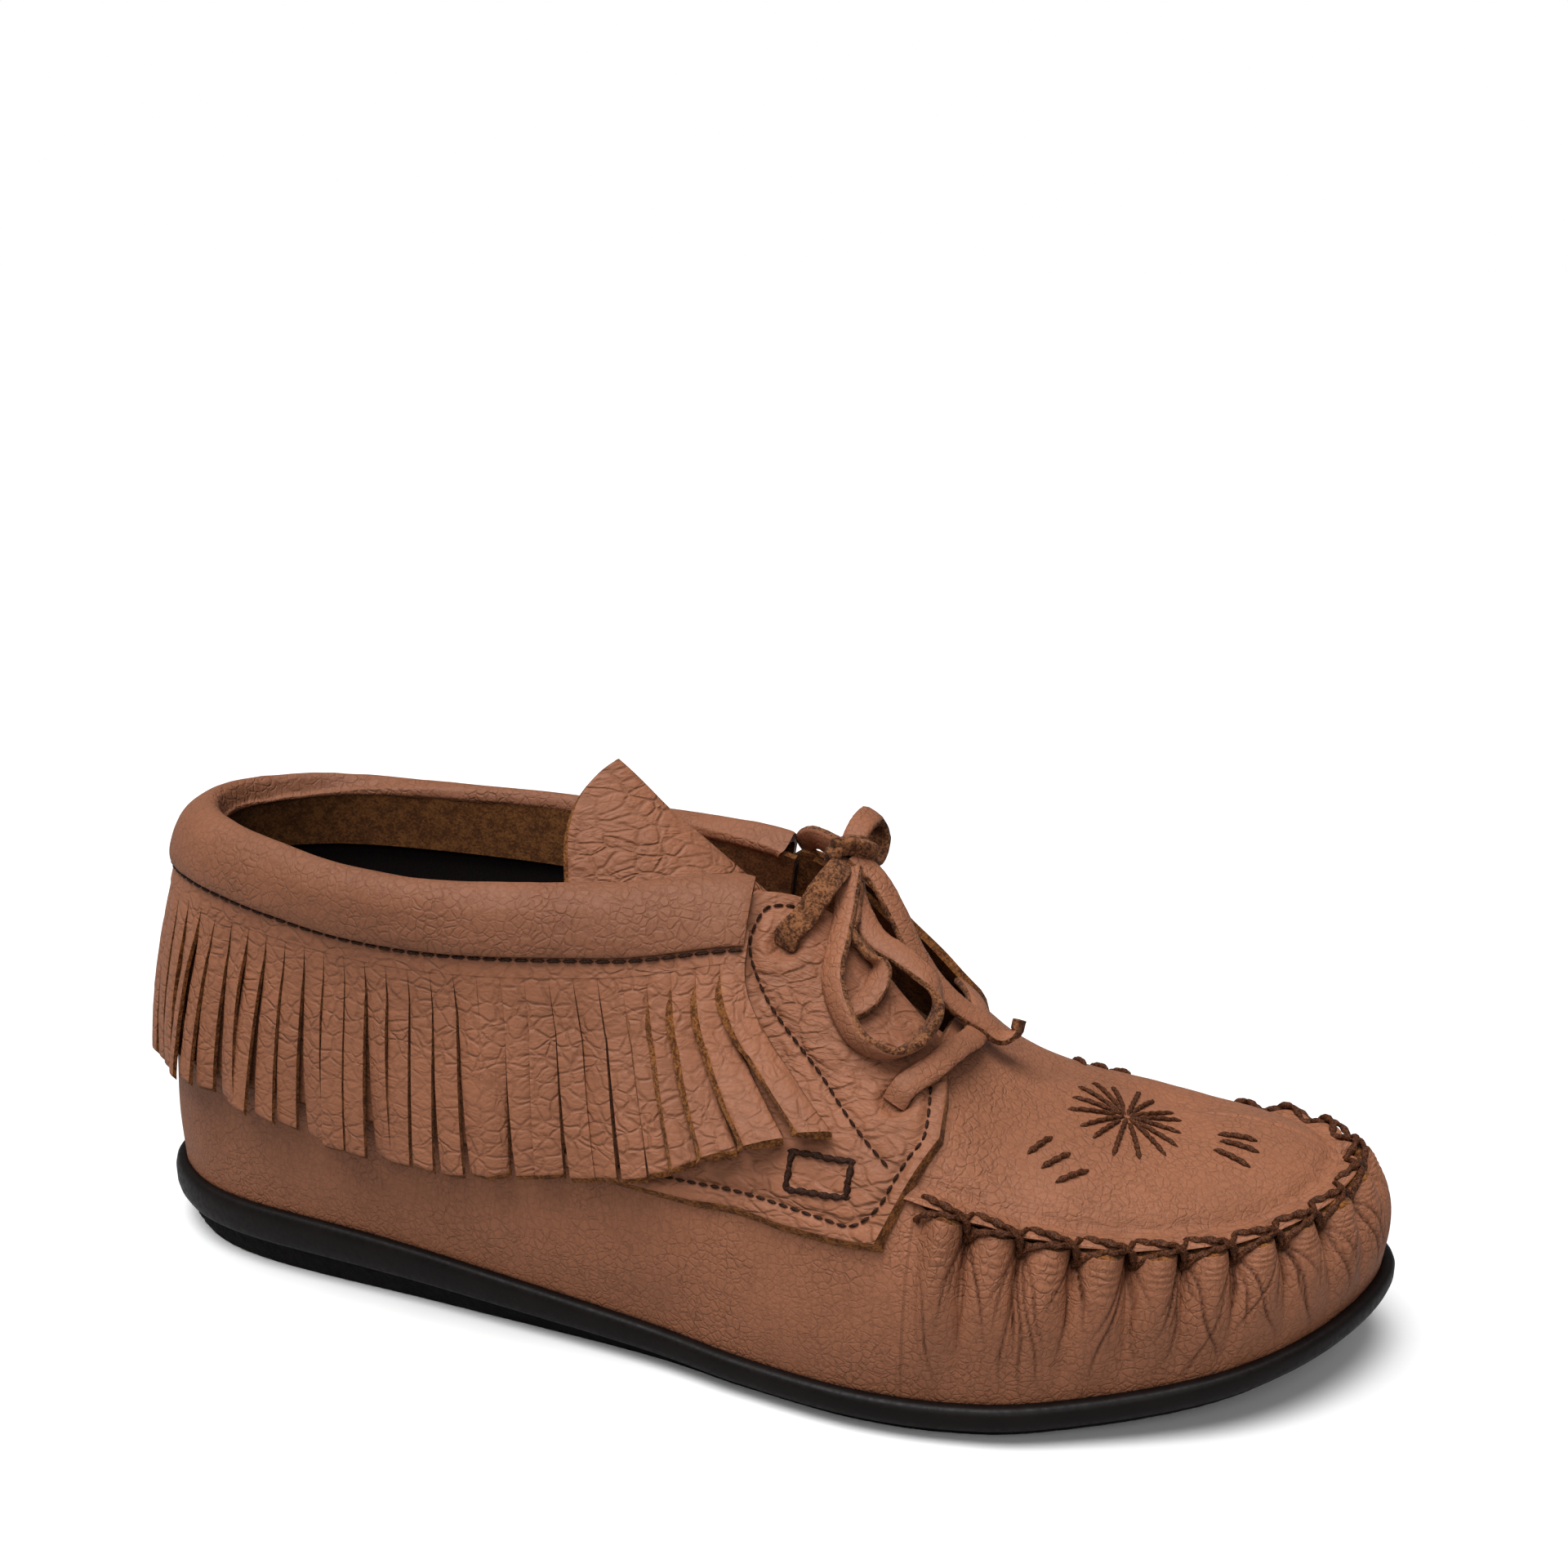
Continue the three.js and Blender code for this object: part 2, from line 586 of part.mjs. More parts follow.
// Line of stitches set in from the bottom edge and turning up the front edge.
function quarterThread(side) {
  const bottom = spread(3.7, 6.02, 9).map((u) => [u, quarterFoot(u) + 0.032]);
  const route = [...bottom, [6.1, 0.4], [6.2, 0.5], [6.32, 0.6], [6.36, 0.7]];
  return thread(onQuarter(side, route, 2.65), 0.35, { sides: 4, steps: 30 });
}

// Line of stitches holding the reinforcing strip.
const eyestayThread = (side) =>
  thread(onQuarter(side, [[5, 0.815], [5.25, 0.735], [5.5, 0.665], [5.85, 0.59], [6.12, 0.54]],
    2.65), 0.35, { sides: 4, steps: 16 });

// Small square of heavy stitches.
function boxTack(side) {
  const corners = [[5.4, 0.47], [5.85, 0.53], [5.95, 0.43], [5.45, 0.38]];
  const route = corners.flatMap((c, i) => {
    const next = corners[(i + 1) % 4];
    return [0, 0.33, 0.67].map((t) => [lerp(c[0], next[0], t), lerp(c[1], next[1], t)]);
  });
  return thread(onQuarter(side, route, 2.85), 0.5, { sides: 5, steps: 36, closed: true });
}

const collarThread = () =>
  thread(collarRun(4.84, 16).map((u) => off(u, CUFF_FOOT + 0.012, 5.6)), 0.35,
    { sides: 4, steps: 60 });

// ---------------------------------------------------------------- embroidery
// Height of the plug above a place seen from above, with its upward normal.
const plugSolid = plug();
const plugAbove = (() => {
  const mesh = new THREE.Mesh(plugSolid);
  mesh.material.side = THREE.DoubleSide;
  const ray = new THREE.Raycaster();
  return (x, y) => {
    ray.set(vec(x, y, 200), vec(0, 0, -1));
    return ray.intersectObject(mesh)[0].point.z;
  };
})();

// Starburst: rays of thread lying on the plug, joined at the middle.
function starburst() {
  const [cx, cy, rays, reach, half] = [79, -2.5, 16, 11.5, 0.55];
  const rings = [];
  for (let k = 0; k < rays; k++) {
    const a = (2 * Math.PI * k) / rays;
    const place = (r, side) => [cx + r * Math.cos(a) - side * half * Math.sin(a),
      cy + r * Math.sin(a) + side * half * Math.cos(a)];
    rings.push(place(3, -1), place(7, -1), place(reach, -1), place(reach, 1), place(7, 1),
      place(3, 1));
  }
  const low = rings.map(([x, y]) => vec(x, y, plugAbove(x, y) + 0.25));
  const high = low.map((p) => p.clone().setZ(p.z + 0.8));
  const centre = plugAbove(cx, cy);
  const points = [...low, ...high, vec(cx, cy, centre + 0.25), vec(cx, cy, centre + 1.05)];
  const n = low.length;
  const faces = [];
  for (let i = 0; i < n; i++) {
    const j = (i + 1) % n;
    faces.push([i, j, n + j], [i, n + j, n + i]);
  }
  for (let k = 0; k < rays; k++) {
    const [a, b, c, d, e, f] = [0, 1, 2, 3, 4, 5].map((i) => 6 * k + i);
    const next = (6 * k + 6) % n;
    const flat = [[a, b, e], [a, e, f], [b, c, d], [b, d, e]];
    flat.forEach(([p, q, r]) => faces.push([n + p, n + q, n + r], [p, r, q]));
    faces.push([n + a, n + f, 2 * n + 1], [a, 2 * n, f]);
    faces.push([n + f, n + next, 2 * n + 1], [f, 2 * n, next]);
  }
  return facesToGeometry(points, faces);
}

// One short stitch on the plug.
function dash([x, y, angle, length]) {
  const [dx, dy] = [Math.cos(angle), Math.sin(angle)];
  const loops = [-0.5, 0, 0.5].map((t) => {
    const corner = (side, rise) => {
      const [px, py] = [x + dx * length * t - dy * side, y + dy * length * t + dx * side];
      return vec(px, py, plugAbove(px, py) + rise);
    };
    return [corner(-0.55, 0.25), corner(0.55, 0.25), corner(0.55, 1), corner(-0.55, 1)];
  });
  return loft(loops);
}
const DASHES = {
  dash_toe: [[102, 0.2, 0.1], [102.3, -3.8, -0.1], [101.6, -7.8, -0.35]],
  dash_outer: [[66.2, -21.8, 1.1], [70, -24, 0.95], [74, -25.6, 0.8]],
  dash_inner: [[66.2, 22, -1.1], [70, 23.8, -0.95], [74, 25, -0.8]],
};

// ---------------------------------------------------------------- lace
// A place d millimetres off the last, as plain numbers.
const by = (u, w, d) => off(u, w, d).toArray();
const [upperOut, lowerOut] = EYELETS.map(([u, w]) => [SIDES.outer(u), w]);
const [upperIn, lowerIn] = EYELETS.map(([u, w]) => [SIDES.inner(u), w]);

// Each stretch is rows of [place, direction across the strap].
const LACE = {
  lace_bar: [
    [by(...lowerOut, 3.3), [0.8, 0, -0.6]], [by(6.28, 0.83, 3.6), [0.8, 0, -0.6]],
    [by(6.3, 0.97, 4.2), [0.8, 0, -0.6]], [[46.8, 4, 67.2], [0.8, 0, -0.6]],
    [by(SIDES.inner(6.3), 0.95, 4.2), [0.8, 0, -0.6]],
    [by(SIDES.inner(6.25), 0.83, 3.8), [0.8, 0, -0.6]], [by(...lowerIn, 3.4), [0.8, 0, -0.6]],
  ],
  lace_upper_outer: [
    [by(...upperOut, 3.4), [0.8, 0, -0.6]], [by(5.3, 0.96, 4.2), [0.8, 0, -0.6]],
    [[19.8, -5.6, 93.4], [0.8, -0.1, -0.5]], [[20.6, -2.6, 94], [0.8, -0.2, -0.4]],
  ],
  lace_upper_inner: [
    [by(...upperIn, 3.7), [0.8, 0, -0.6]], [[17.4, 19.4, 93], [0.8, 0.1, -0.5]],
    [[16, 13.6, 97.6], [0.8, 0.1, -0.4]], [[18.6, 8.6, 96.4], [0.8, 0.2, -0.4]],
  ],
  bow_loop_outer: [
    [[26.6, -5.4, 88.6], [-0.3, -0.8, 0.4]], [by(5.62, 0.94, 7), [-0.3, -0.8, 0.5]],
    [by(5.6, 0.86, 6.6), [-0.2, -0.8, 0.6]], [by(5.74, 0.77, 6.4), [0, -0.8, 0.6]],
    [by(5.98, 0.74, 7), [0.3, -0.7, 0.6]], [by(6.14, 0.79, 8), [0.3, -0.7, 0.6]],
    [by(6.12, 0.9, 10), [0.3, -0.7, 0.5]], [[41, -12, 82], [0.3, -0.6, 0.6]],
    [[35.6, -9.4, 87.4], [0.4, -0.4, 0.8]], [[30, -4.6, 91], [0.5, -0.4, 0.8]],
  ],
  bow_loop_inner: [
    [[25.6, 8.4, 96.8], [0.5, -0.6, 0.6]], [[29, 10, 101.6], [0.6, -0.5, 0.5]],
    [[31.4, 14, 102.4], [0.9, 0, 0]], [[31, 19.6, 97.4], [0.8, 0, -0.5]],
    [[27, 19.4, 92.6], [0.8, 0.2, -0.5]], [[24.4, 14.6, 91.2], [0.8, 0.3, -0.4]],
    [[23.8, 9.6, 91.6], [0.8, 0.2, -0.4]],
  ],
  lace_tail_long: [
    [[30.2, 3.8, 91.6], [0.5, 0.8, 0.3]], [[36.2, 3.4, 85.6], [0.4, 0.9, 0.3]],
    [[43.2, 2.2, 78.6], [0.3, 0.9, 0.2]], [[50.8, 0.2, 71.8], [0.2, 0.9, 0.2]],
    [[57.4, 0.6, 63.8], [0, 1, 0.1]], [[61.6, 1.6, 62.6], [0, 1, 0]],
    [[63.4, 2, 65.6], [0, 1, 0]],
  ],
  lace_tail_short: [
    [[24.4, 2.4, 86.6], [0.8, 0, -0.6]], [[27, -2.4, 82.4], [0.8, 0, -0.6]],
    [[28.8, -7, 83.2], [0.8, 0, -0.6]], [by(5.5, 0.92, 4.2), [0.8, 0, -0.6]],
  ],
};

// Rounded lump where the bow is tied.
function knot() {
  const geometry = new THREE.IcosahedronGeometry(1, 2);
  geometry.scale(4.2, 5.4, 3.2).rotateY(0.6).translate(24.8, 2.8, 93.6);
  return geometry;
}

// ---------------------------------------------------------------- assembly
const moccasin = new THREE.Group();
moccasin.name = "moccasin";

function add(name, material, geometry) {
  const mesh = new THREE.Mesh(geometry, MATERIALS[material]);
  mesh.name = name;
  moccasin.add(mesh);
}

add("outsole_tread", "rubber", outsoleTread());
add("outsole_rim", "rubber", outsoleRim());
add("insole_board", "suede", insoleBoard());
add("footbed", "lining", footbed());
add("wrap", "leather", wrap());
add("plug", "leather", plugSolid);
add("plug_seam_cord", "thread", plugSeamCord());
add("back_seam", "suede", backSeam());
add("collar_cuff", "leather", collarCuff());
add("collar_facing", "suede", collarFacing());
add("ankle_lining", "lining", ankleLining());
add("fringe_header", "leather", fringeHeader());
add("tongue", "leather", tongue());
add("collar_thread", "thread", collarThread());
add("embroidery_star", "thread", starburst());
for (const [name, list] of Object.entries(DASHES))
  list.forEach((place, i) => add(name + "_" + (i + 1), "thread", dash([...place, 6])));

for (const [name, side] of Object.entries(SIDES)) {
  add("quarter_" + name, "leather", quarter(side));
  add("eyestay_" + name, "suede", eyestay(side));
  add("quarter_thread_" + name, "thread", quarterThread(side));
  add("eyestay_thread_" + name, "thread", eyestayThread(side));
  add("box_tack_" + name, "thread", boxTack(side));
  const cuts = evenStations(0, 4.84, (u) => lookup(STRAND_TOP, u), STRAND_WIDTH);
  const bounds = FRINGE_SHARES.map((share) => Math.round(share * (cuts.length - 1)));
  for (let k = 1; k < bounds.length; k++)
    add("fringe_" + name + "_" + k, "leather",
      fringeGroup(side, cuts.slice(bounds[k - 1], bounds[k] + 1)));
}

add("bow_knot", "suede", knot());
for (const [name, rows] of Object.entries(LACE)) add(name, "leather", strap(rows));

export default moccasin;
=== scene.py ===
"""Looks of the fringed moccasin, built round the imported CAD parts.

Shapes are worked out in millimetres on the same last as the CAD, and turned to metres when
each mesh is made. +X points to the toe, +Y to the inner side of the foot, +Z up.
"""
import math

import bpy
import numpy as np
from mathutils import Matrix, Vector, noise as perlin
from mathutils.bvhtree import BVHTree


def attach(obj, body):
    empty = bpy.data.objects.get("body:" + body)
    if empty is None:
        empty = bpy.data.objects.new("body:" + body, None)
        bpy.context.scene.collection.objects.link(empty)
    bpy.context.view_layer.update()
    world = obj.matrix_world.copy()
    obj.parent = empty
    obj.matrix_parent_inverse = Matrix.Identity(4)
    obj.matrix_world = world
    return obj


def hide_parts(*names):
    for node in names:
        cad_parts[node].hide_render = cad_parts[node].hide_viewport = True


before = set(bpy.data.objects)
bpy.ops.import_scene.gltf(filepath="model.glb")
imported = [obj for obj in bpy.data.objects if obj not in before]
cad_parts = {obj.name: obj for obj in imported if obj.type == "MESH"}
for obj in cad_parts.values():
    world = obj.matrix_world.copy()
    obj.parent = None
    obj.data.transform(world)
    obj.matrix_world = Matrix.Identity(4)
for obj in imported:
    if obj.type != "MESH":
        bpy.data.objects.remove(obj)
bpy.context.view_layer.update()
MM = 0.001

# ------------------------------------------------------------------ the last
# One row per station round the shoe: foot x, foot y, top x, top y, top z, squareness.
STATIONS = np.array([
    [-128, 0, -113, 3, 94, 1.6], [-120, -15, -106, -10, 93.5, 1.8],
    [-99, -25.5, -87, -21, 92.5, 1.7], [-52, -32, -56, -28.5, 91, 1.5],
    [-8, -38, -20, -21, 90.3, 1.4], [15, -43.5, 13, -8.5, 89.5, 1.5],
    [37, -47.5, 38, -6.5, 71, 1.9], [56, -47, 58, 2, 54, 2.8], [73, -43, 72, 6, 49, 3],
    [103, -29.5, 84, 8, 45.5, 2.7], [121, -11, 89, 9, 45, 2.6], [128.5, 11, 91, 10, 44.5, 2.5],
    [118.5, 28.5, 89, 11, 44, 2.3], [94, 35.5, 82, 12, 45.5, 2.3],
    [52, 40.5, 58, 10.5, 53, 2.1], [25, 37, 33, 14.5, 74, 1.9], [0, 32.5, 10, 16.5, 90, 1.5],
    [-45, 28.5, -40, 31, 91.5, 1.5], [-99, 26.5, -87, 27, 93, 1.6],
    [-120, 15.5, -107, 15, 93.8, 1.8]], float)
ROUND = len(STATIONS)
SWELL = [[0, 0.5], [2, 1.5], [4, 3], [6, 2.5], [9, 1.5], [11, 1], [13, 1.5], [16, 2.5],
         [18, 1.5], [20, 0.5]]
TOE_SPRING, HEEL_SOLE, FRONT_SOLE = 11.5, 14.5, 7.6
TREAD_HEEL, TREAD_FRONT = 6.5, 2.6
LEATHER, SUEDE, QUARTER_OFF = 1.5, 1.3, 0.45
PUCKER_PITCH = 9.8
STRAND_WIDTH = 4.7
LACE_WIDTH, LACE_THICK = 5, 1.8

WRAP_TOP = [[0, 0.5], [4, 0.46], [6.4, 0.46], [7.3, 0.42], [8.3, 0.385], [9, 0.38],
            [10, 0.4], [10.85, 0.43], [11.4, 0.45], [12.4, 0.5], [13.3, 0.48], [14.4, 0.46],
            [16, 0.46], [20, 0.5]]
QUARTER_FOOT = [[0, 0.36], [2.5, 0.36], [3.5, 0.37], [4.6, 0.33], [5.35, 0.33], [6.2, 0.36]]
QUARTER_FRONT = [[0.36, 6.2], [0.5, 6.4], [0.6, 6.55], [0.7, 6.5], [0.8, 6.4], [0.85, 6.3],
                 [0.9, 6.0], [0.965, 5.5]]
QUARTER_TOP = [[4.7, 0.92], [4.85, 0.955], [5.1, 0.965], [5.5, 0.97]]
SEAM_ABOVE_FOOT, SEAM_BEHIND_FRONT = 0.033, 0.12
BOX_BACK, BOX_FRONT, BOX_TALL = [5.4, 0.4], [5.9, 0.435], 0.075
CUFF_FRONT, CUFF_FRONT_INNER, CUFF_FOOT = 4.82, 4.68, 0.845
STRAND_TOP = [[0, 0.79], [2, 0.79], [3.5, 0.8], [4.9, 0.82]]
STRAND_END = [[0, 0.3], [1.2, 0.335], [2, 0.335], [2.6, 0.285], [3.2, 0.3], [3.65, 0.345],
              [4.4, 0.39], [5, 0.44], [5.7, 0.55]]
STRAND_REACH = [[0, 0], [3.6, 3.62], [4.3, 4.55], [4.9, 5.92]]
INNER_PLACE = [[0, 0], [2, 2], [3, 2.8], [4, 3.6], [4.88, 4], [5.3, 4.5], [6.3, 5.55], [7, 6]]
FRINGE_SHARES = [0, 0.13, 0.33, 0.64, 1]
EYELETS = [[5.08, 0.86], [6.13, 0.662]]


def look(pairs, x):
    """Straight-line lookup in a list of [x, value] pairs."""
    pairs = np.asarray(pairs, float)
    return np.interp(x, pairs[:, 0], pairs[:, 1])


def ease(t):
    t = np.clip(t, 0, 1)
    return t * t * (3 - 2 * t)


def lerp(a, b, t):
    return a + (b - a) * t


def station(u):
    """Rows of the station table at any places round the shoe."""
    v = np.asarray(u, float) % ROUND
    i = np.floor(v).astype(int)
    f = (v - i)[..., None]
    a, b, c, d = (STATIONS[(i + k) % ROUND] for k in (-1, 0, 1, 2))
    return 0.5 * (2 * b + (c - a) * f + (2 * a - 5 * b + 4 * c - d) * f**2
                  + (3 * b - a - 3 * c + d) * f**3)


def ground(x):
    return TOE_SPRING * np.clip((x - 47) / 84, 0, 1.1) ** 2


def sole_top(x):
    return ground(x) + lerp(HEEL_SOLE, FRONT_SOLE, ease((x + 92) / 118))


def tread_top(x):
    return ground(x) + lerp(TREAD_HEEL, TREAD_FRONT, ease((x + 92) / 118))


def outward(u):
    """Level directions pointing out of the shoe at the foot line."""
    d = station(np.asarray(u) + 0.001)[..., :2] - station(np.asarray(u) - 0.001)[..., :2]
    side = np.stack([d[..., 1], -d[..., 0]], -1)
    return side / np.linalg.norm(side, axis=-1, keepdims=True)


def unit(v):
    return v / np.maximum(np.linalg.norm(v, axis=-1, keepdims=True), 1e-12)


def distances(line):
    """Millimetres from the start of a line to each of its points."""
    return np.r_[0, np.cumsum(np.linalg.norm(np.diff(line, axis=0), axis=1))]


def last_grid(around=1600, rise=193):
    """Points and outward normals of the last, evenly spaced up each station."""
    u = np.arange(around) * ROUND / around
    rows, side = station(u), outward(u)
    foot = sole_top(rows[:, 0])
    a = np.linspace(0, math.pi / 2, 97)
    n = rows[:, 5:6]
    up = (rows[:, 4] - foot)[:, None] * np.sin(a) ** (2 / n)
    run = 1 - np.clip(np.cos(a), 0, None) ** (2 / n)
    swell = look(SWELL, u)[:, None] * np.sin(np.pi * np.minimum(1, up / 55))
    points = np.stack([
        lerp(rows[:, 0:1], rows[:, 2:3], run) + side[:, 0:1] * swell,
        lerp(rows[:, 1:2], rows[:, 3:4], run) + side[:, 1:2] * swell,
        foot[:, None] + up], -1)
    step = np.linalg.norm(np.diff(points, axis=1), axis=-1)
    length = np.concatenate([np.zeros((around, 1)), np.cumsum(step, 1)], 1)
    length /= length[:, -1:]
    even = np.linspace(0, 1, rise)
    grid = np.empty((around, rise, 3))
    for i in range(around):
        for k in range(3):
            grid[i, :, k] = np.interp(even, length[i], points[i, :, k])
    along = np.roll(grid, -3, 0) - np.roll(grid, 3, 0)
    return grid, unit(np.cross(along, np.gradient(grid, axis=1)))


GRID, NORMALS = last_grid()


def sample(table, u, w):
    """Values of a table over the last at places (u, w), blended between its points."""
    around, rise = table.shape[:2]
    u, w = np.broadcast_arrays(np.asarray(u, float), np.asarray(w, float))
    a = (u % ROUND) * around / ROUND
    b = np.clip(w, 0, 1) * (rise - 1)
    i = np.floor(a).astype(int) % around
    j = np.minimum(np.floor(b).astype(int), rise - 2)
    f, g = (a - np.floor(a))[..., None], (b - j)[..., None]
    k = (i + 1) % around
    return lerp(lerp(table[i, j], table[k, j], f), lerp(table[i, j + 1], table[k, j + 1], f), g)


def off(u, w, d):
    """Points d millimetres off the last."""
    normal = unit(sample(NORMALS, u, w))
    return sample(GRID, u, w) + normal * np.asarray(d, float)[..., None]


def outer(u):
    return np.asarray(u, float)


def inner(u):
    return ROUND - look(INNER_PLACE, u)


SIDES = {"outer": outer, "inner": inner}


def even_stations(start, end, height, pitch, parts=1):
    """Stations at even distances along a line on the last, a whole number of pitches apart."""
    fine = np.linspace(start, end, 401)
    line = off(fine, height(fine), 0)
    run = distances(line)
    count = parts * round(run[-1] / pitch)
    return np.interp(np.linspace(0, run[-1], count + 1), run, fine)


def rough(points, size, seed=0):
    """Smooth random values from -1 to 1 at points, with bumps about that size."""
    flat = np.asarray(points).reshape(-1, 3) / size + seed * 17.31
    return np.array([perlin.noise(p) for p in flat]).reshape(np.shape(points)[:-1])


# ------------------------------------------------------------------ making meshes
def facing_out(name, *grids):
    """Grids whose faces point out on either side: the inner side's are turned round."""
    return [g[::-1] for g in grids] if name == "inner" else grids


class Shape:
    """Collects grids of faces for one mesh. Face slot 0 is the grain side, 1 the raw side."""

    def __init__(self):
        self.points, self.faces, self.slots = [], [], []
        self.folds, self.wears, self.creases = [], [], []
        self.count = 0

    def add_points(self, points, fold=None, wear=0.0, crease=0.0):
        flat = np.asarray(points, float).reshape(-1, 3)
        start, self.count = self.count, self.count + len(flat)
        self.points.append(flat)
        fold = np.zeros((len(flat), 3)) if fold is None else np.asarray(fold).reshape(-1, 3)
        self.folds.append(fold)
        for values, kept in ((wear, self.wears), (crease, self.creases)):
            kept.append(np.full(len(flat), values) if np.ndim(values) == 0
                        else np.asarray(values).reshape(-1))
        return start

    def add_faces(self, faces, slot):
        self.faces += np.asarray(faces).tolist()
        self.slots += [slot] * len(faces)

    def slab(self, out, inn, closed=False, fold=None, wear=0.0, slots=(0, 1, 1), crease=0.0):
        """A sheet with thickness. slots are for its outer face, inner face and edges."""
        nu, nw = out.shape[:2]
        a = self.add_points(out, fold, wear, crease)
        b = self.add_points(inn, fold, wear)
        i = np.arange(nu if closed else nu - 1)
        self.add_faces(quads(nu, nw, closed, a), slots[0])
        self.add_faces(quads(nu, nw, closed, b)[:, ::-1], slots[1])
        k = (i + 1) % nu
        for j, turn in ((0, False), (nw - 1, True)):
            rim = np.stack([a + i * nw + j, b + i * nw + j, b + k * nw + j, a + k * nw + j], 1)
            self.add_faces(rim[:, ::-1] if turn else rim, slots[2])
        if not closed:
            j = np.arange(nw - 1)
            for row, turn in ((0, False), (nu - 1, True)):
                p, q = a + row * nw + j, b + row * nw + j
                rim = np.stack([p, p + 1, q + 1, q], 1)
                self.add_faces(rim[:, ::-1] if turn else rim, slots[2])

    def tube(self, loops, closed=False, slot=0):
        """Loops of points joined in order, where slot may be a list with one per loop side."""
        loops = np.asarray(loops)
        n, m = loops.shape[:2]
        start = self.add_points(loops)
        i = np.arange(n if closed else n - 1)[:, None]
        j = np.arange(m)[None, :]
        a, b = start + i * m + j, start + ((i + 1) % n) * m + j
        c, d = start + ((i + 1) % n) * m + (j + 1) % m, start + i * m + (j + 1) % m
        faces = np.stack([a, b, c, d], -1)
        sides = slot if isinstance(slot, (list, tuple)) else [slot] * m
        for k, s in enumerate(sides):
            self.add_faces(faces[:, k].reshape(-1, 4), s)
        if not closed:
            last = max(sides)
            for row, turn in ((0, False), (n - 1, True)):
                middle = self.add_points(loops[row].mean(0)[None])
                ring = start + row * m + np.arange(m)
                fan = np.stack([np.full(m, middle), ring, np.roll(ring, -1)], 1)
                self.add_faces(fan[:, ::-1] if turn else fan, last)

    def make(self, name, materials, body, replaces=(), sharp=55):
        mesh = bpy.data.meshes.new(name)
        points = np.concatenate(self.points) * MM
        mesh.from_pydata(points.tolist(), [], self.faces)
        for material in materials:
            mesh.materials.append(material)
        mesh.polygons.foreach_set("material_index", self.slots)
        fold = mesh.attributes.new("fold", "FLOAT_VECTOR", "POINT")
        fold.data.foreach_set("vector", np.concatenate(self.folds).astype(np.float32).ravel())
        # wear sets how strongly fine creases show, in the bump and as painted shade; crease is
        # painted shadow for the leather's colour.
        for label, values in (("wear", self.wears), ("crease", self.creases)):
            layer = mesh.attributes.new(label, "FLOAT", "POINT")
            layer.data.foreach_set("value", np.concatenate(values).astype(np.float32))
        mesh.shade_smooth()
        mesh.set_sharp_from_angle(angle=math.radians(sharp))
        mesh.validate()
        piece = bpy.data.objects.new(name, mesh)
        bpy.context.scene.collection.objects.link(piece)
        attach(piece, body)
        if replaces:
            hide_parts(*replaces)
        return piece


def sheet(name, materials, slot, node, out, inn, body="shoe", **look_of):
    """One slab made as a piece of its own, in place of one CAD node."""
    shape = Shape()
    shape.slab(out, inn, **look_of)
    return shape.make(name, materials, body, [node])


def quads(nu, nw, closed, start):
    i = np.arange(nu if closed else nu - 1)[:, None]
    j = np.arange(nw - 1)[None, :]
    a, b = start + i * nw + j, start + ((i + 1) % nu) * nw + j
    return np.stack([a, b, b + 1, a + 1], -1).reshape(-1, 4)


def run_and_rise(points):
    """Millimetres along and up a grid of points."""
    middle = points[:, points.shape[1] // 2]
    run = distances(middle)
    rise = np.cumsum(np.linalg.norm(np.diff(points, axis=1), axis=2), axis=1)
    rise = np.concatenate([np.zeros((len(points), 1)), rise], 1)
    return np.broadcast_to(run[:, None], rise.shape), rise


def folds(points, along, up):
    """Coordinates for fine creases: lengths of the creases along and up, in millimetres."""
    run, rise = run_and_rise(points)
    return np.stack([run / along, rise / up, np.zeros_like(run)], -1)


def smooth_line(points, per=10):
    """A smooth curve through points."""
    p = np.asarray(points, float)
    ext = np.vstack([2 * p[0] - p[1], p, 2 * p[-1] - p[-2]])
    parts = []
    for k in range(len(p) - 1):
        q = ext[k:k + 4]
        t = np.r_[0, np.cumsum(np.linalg.norm(np.diff(q, axis=0), axis=1) ** 0.5 + 1e-9)]
        s = np.linspace(t[1], t[2], per, endpoint=False)[:, None]
        a = [q[m] * (t[m + 1] - s) / (t[m + 1] - t[m]) + q[m + 1] * (s - t[m])
             / (t[m + 1] - t[m]) for m in range(3)]
        b = [a[m] * (t[m + 2] - s) / (t[m + 2] - t[m]) + a[m + 1] * (s - t[m])
             / (t[m + 2] - t[m]) for m in range(2)]
        parts.append(b[0] * (t[2] - s) / (t[2] - t[1]) + b[1] * (s - t[1]) / (t[2] - t[1]))
    return np.vstack(parts + [p[-1:]])


def evenly(line, count):
    """A line resampled at even distances."""
    run = distances(line)
    at = np.linspace(0, run[-1], count)
    return np.stack([np.interp(at, run, line[:, k]) for k in range(line.shape[1])], 1)


def twine(line, radius, pitch=3.0, sides=8, sink=1.0, ply=0.2):
    """Loops of a twisted two-ply thread along a line, with ends tapered over sink mm."""
    count = max(6, int(distances(line)[-1] / 0.45))
    p = evenly(np.asarray(line, float), min(count, 400))
    t = unit(np.gradient(p, axis=0))
    ref = np.where(np.abs(t[:, 2:3]) > 0.9, [[1.0, 0, 0]], [[0, 0, 1.0]])
    a = unit(np.cross(t, ref))
    b = np.cross(a, t)
    run = distances(p)
    ends = np.minimum(run, run[-1] - run)
    scale = radius * np.clip(ends / max(sink, 1e-6), 0, 1) ** 0.5 if sink else radius
    scale = np.maximum(scale, 0.12 * radius)[:, None] * np.ones((1, sides))
    angle = np.arange(sides)[None, :] * 2 * np.pi / sides
    swell = 1 + ply * np.cos(2 * (angle - 2 * np.pi * run[:, None] / pitch / 2))
    r = scale * swell
    return p[:, None] + a[:, None] * (r * np.cos(angle))[..., None] \
        + b[:, None] * (r * np.sin(angle))[..., None]


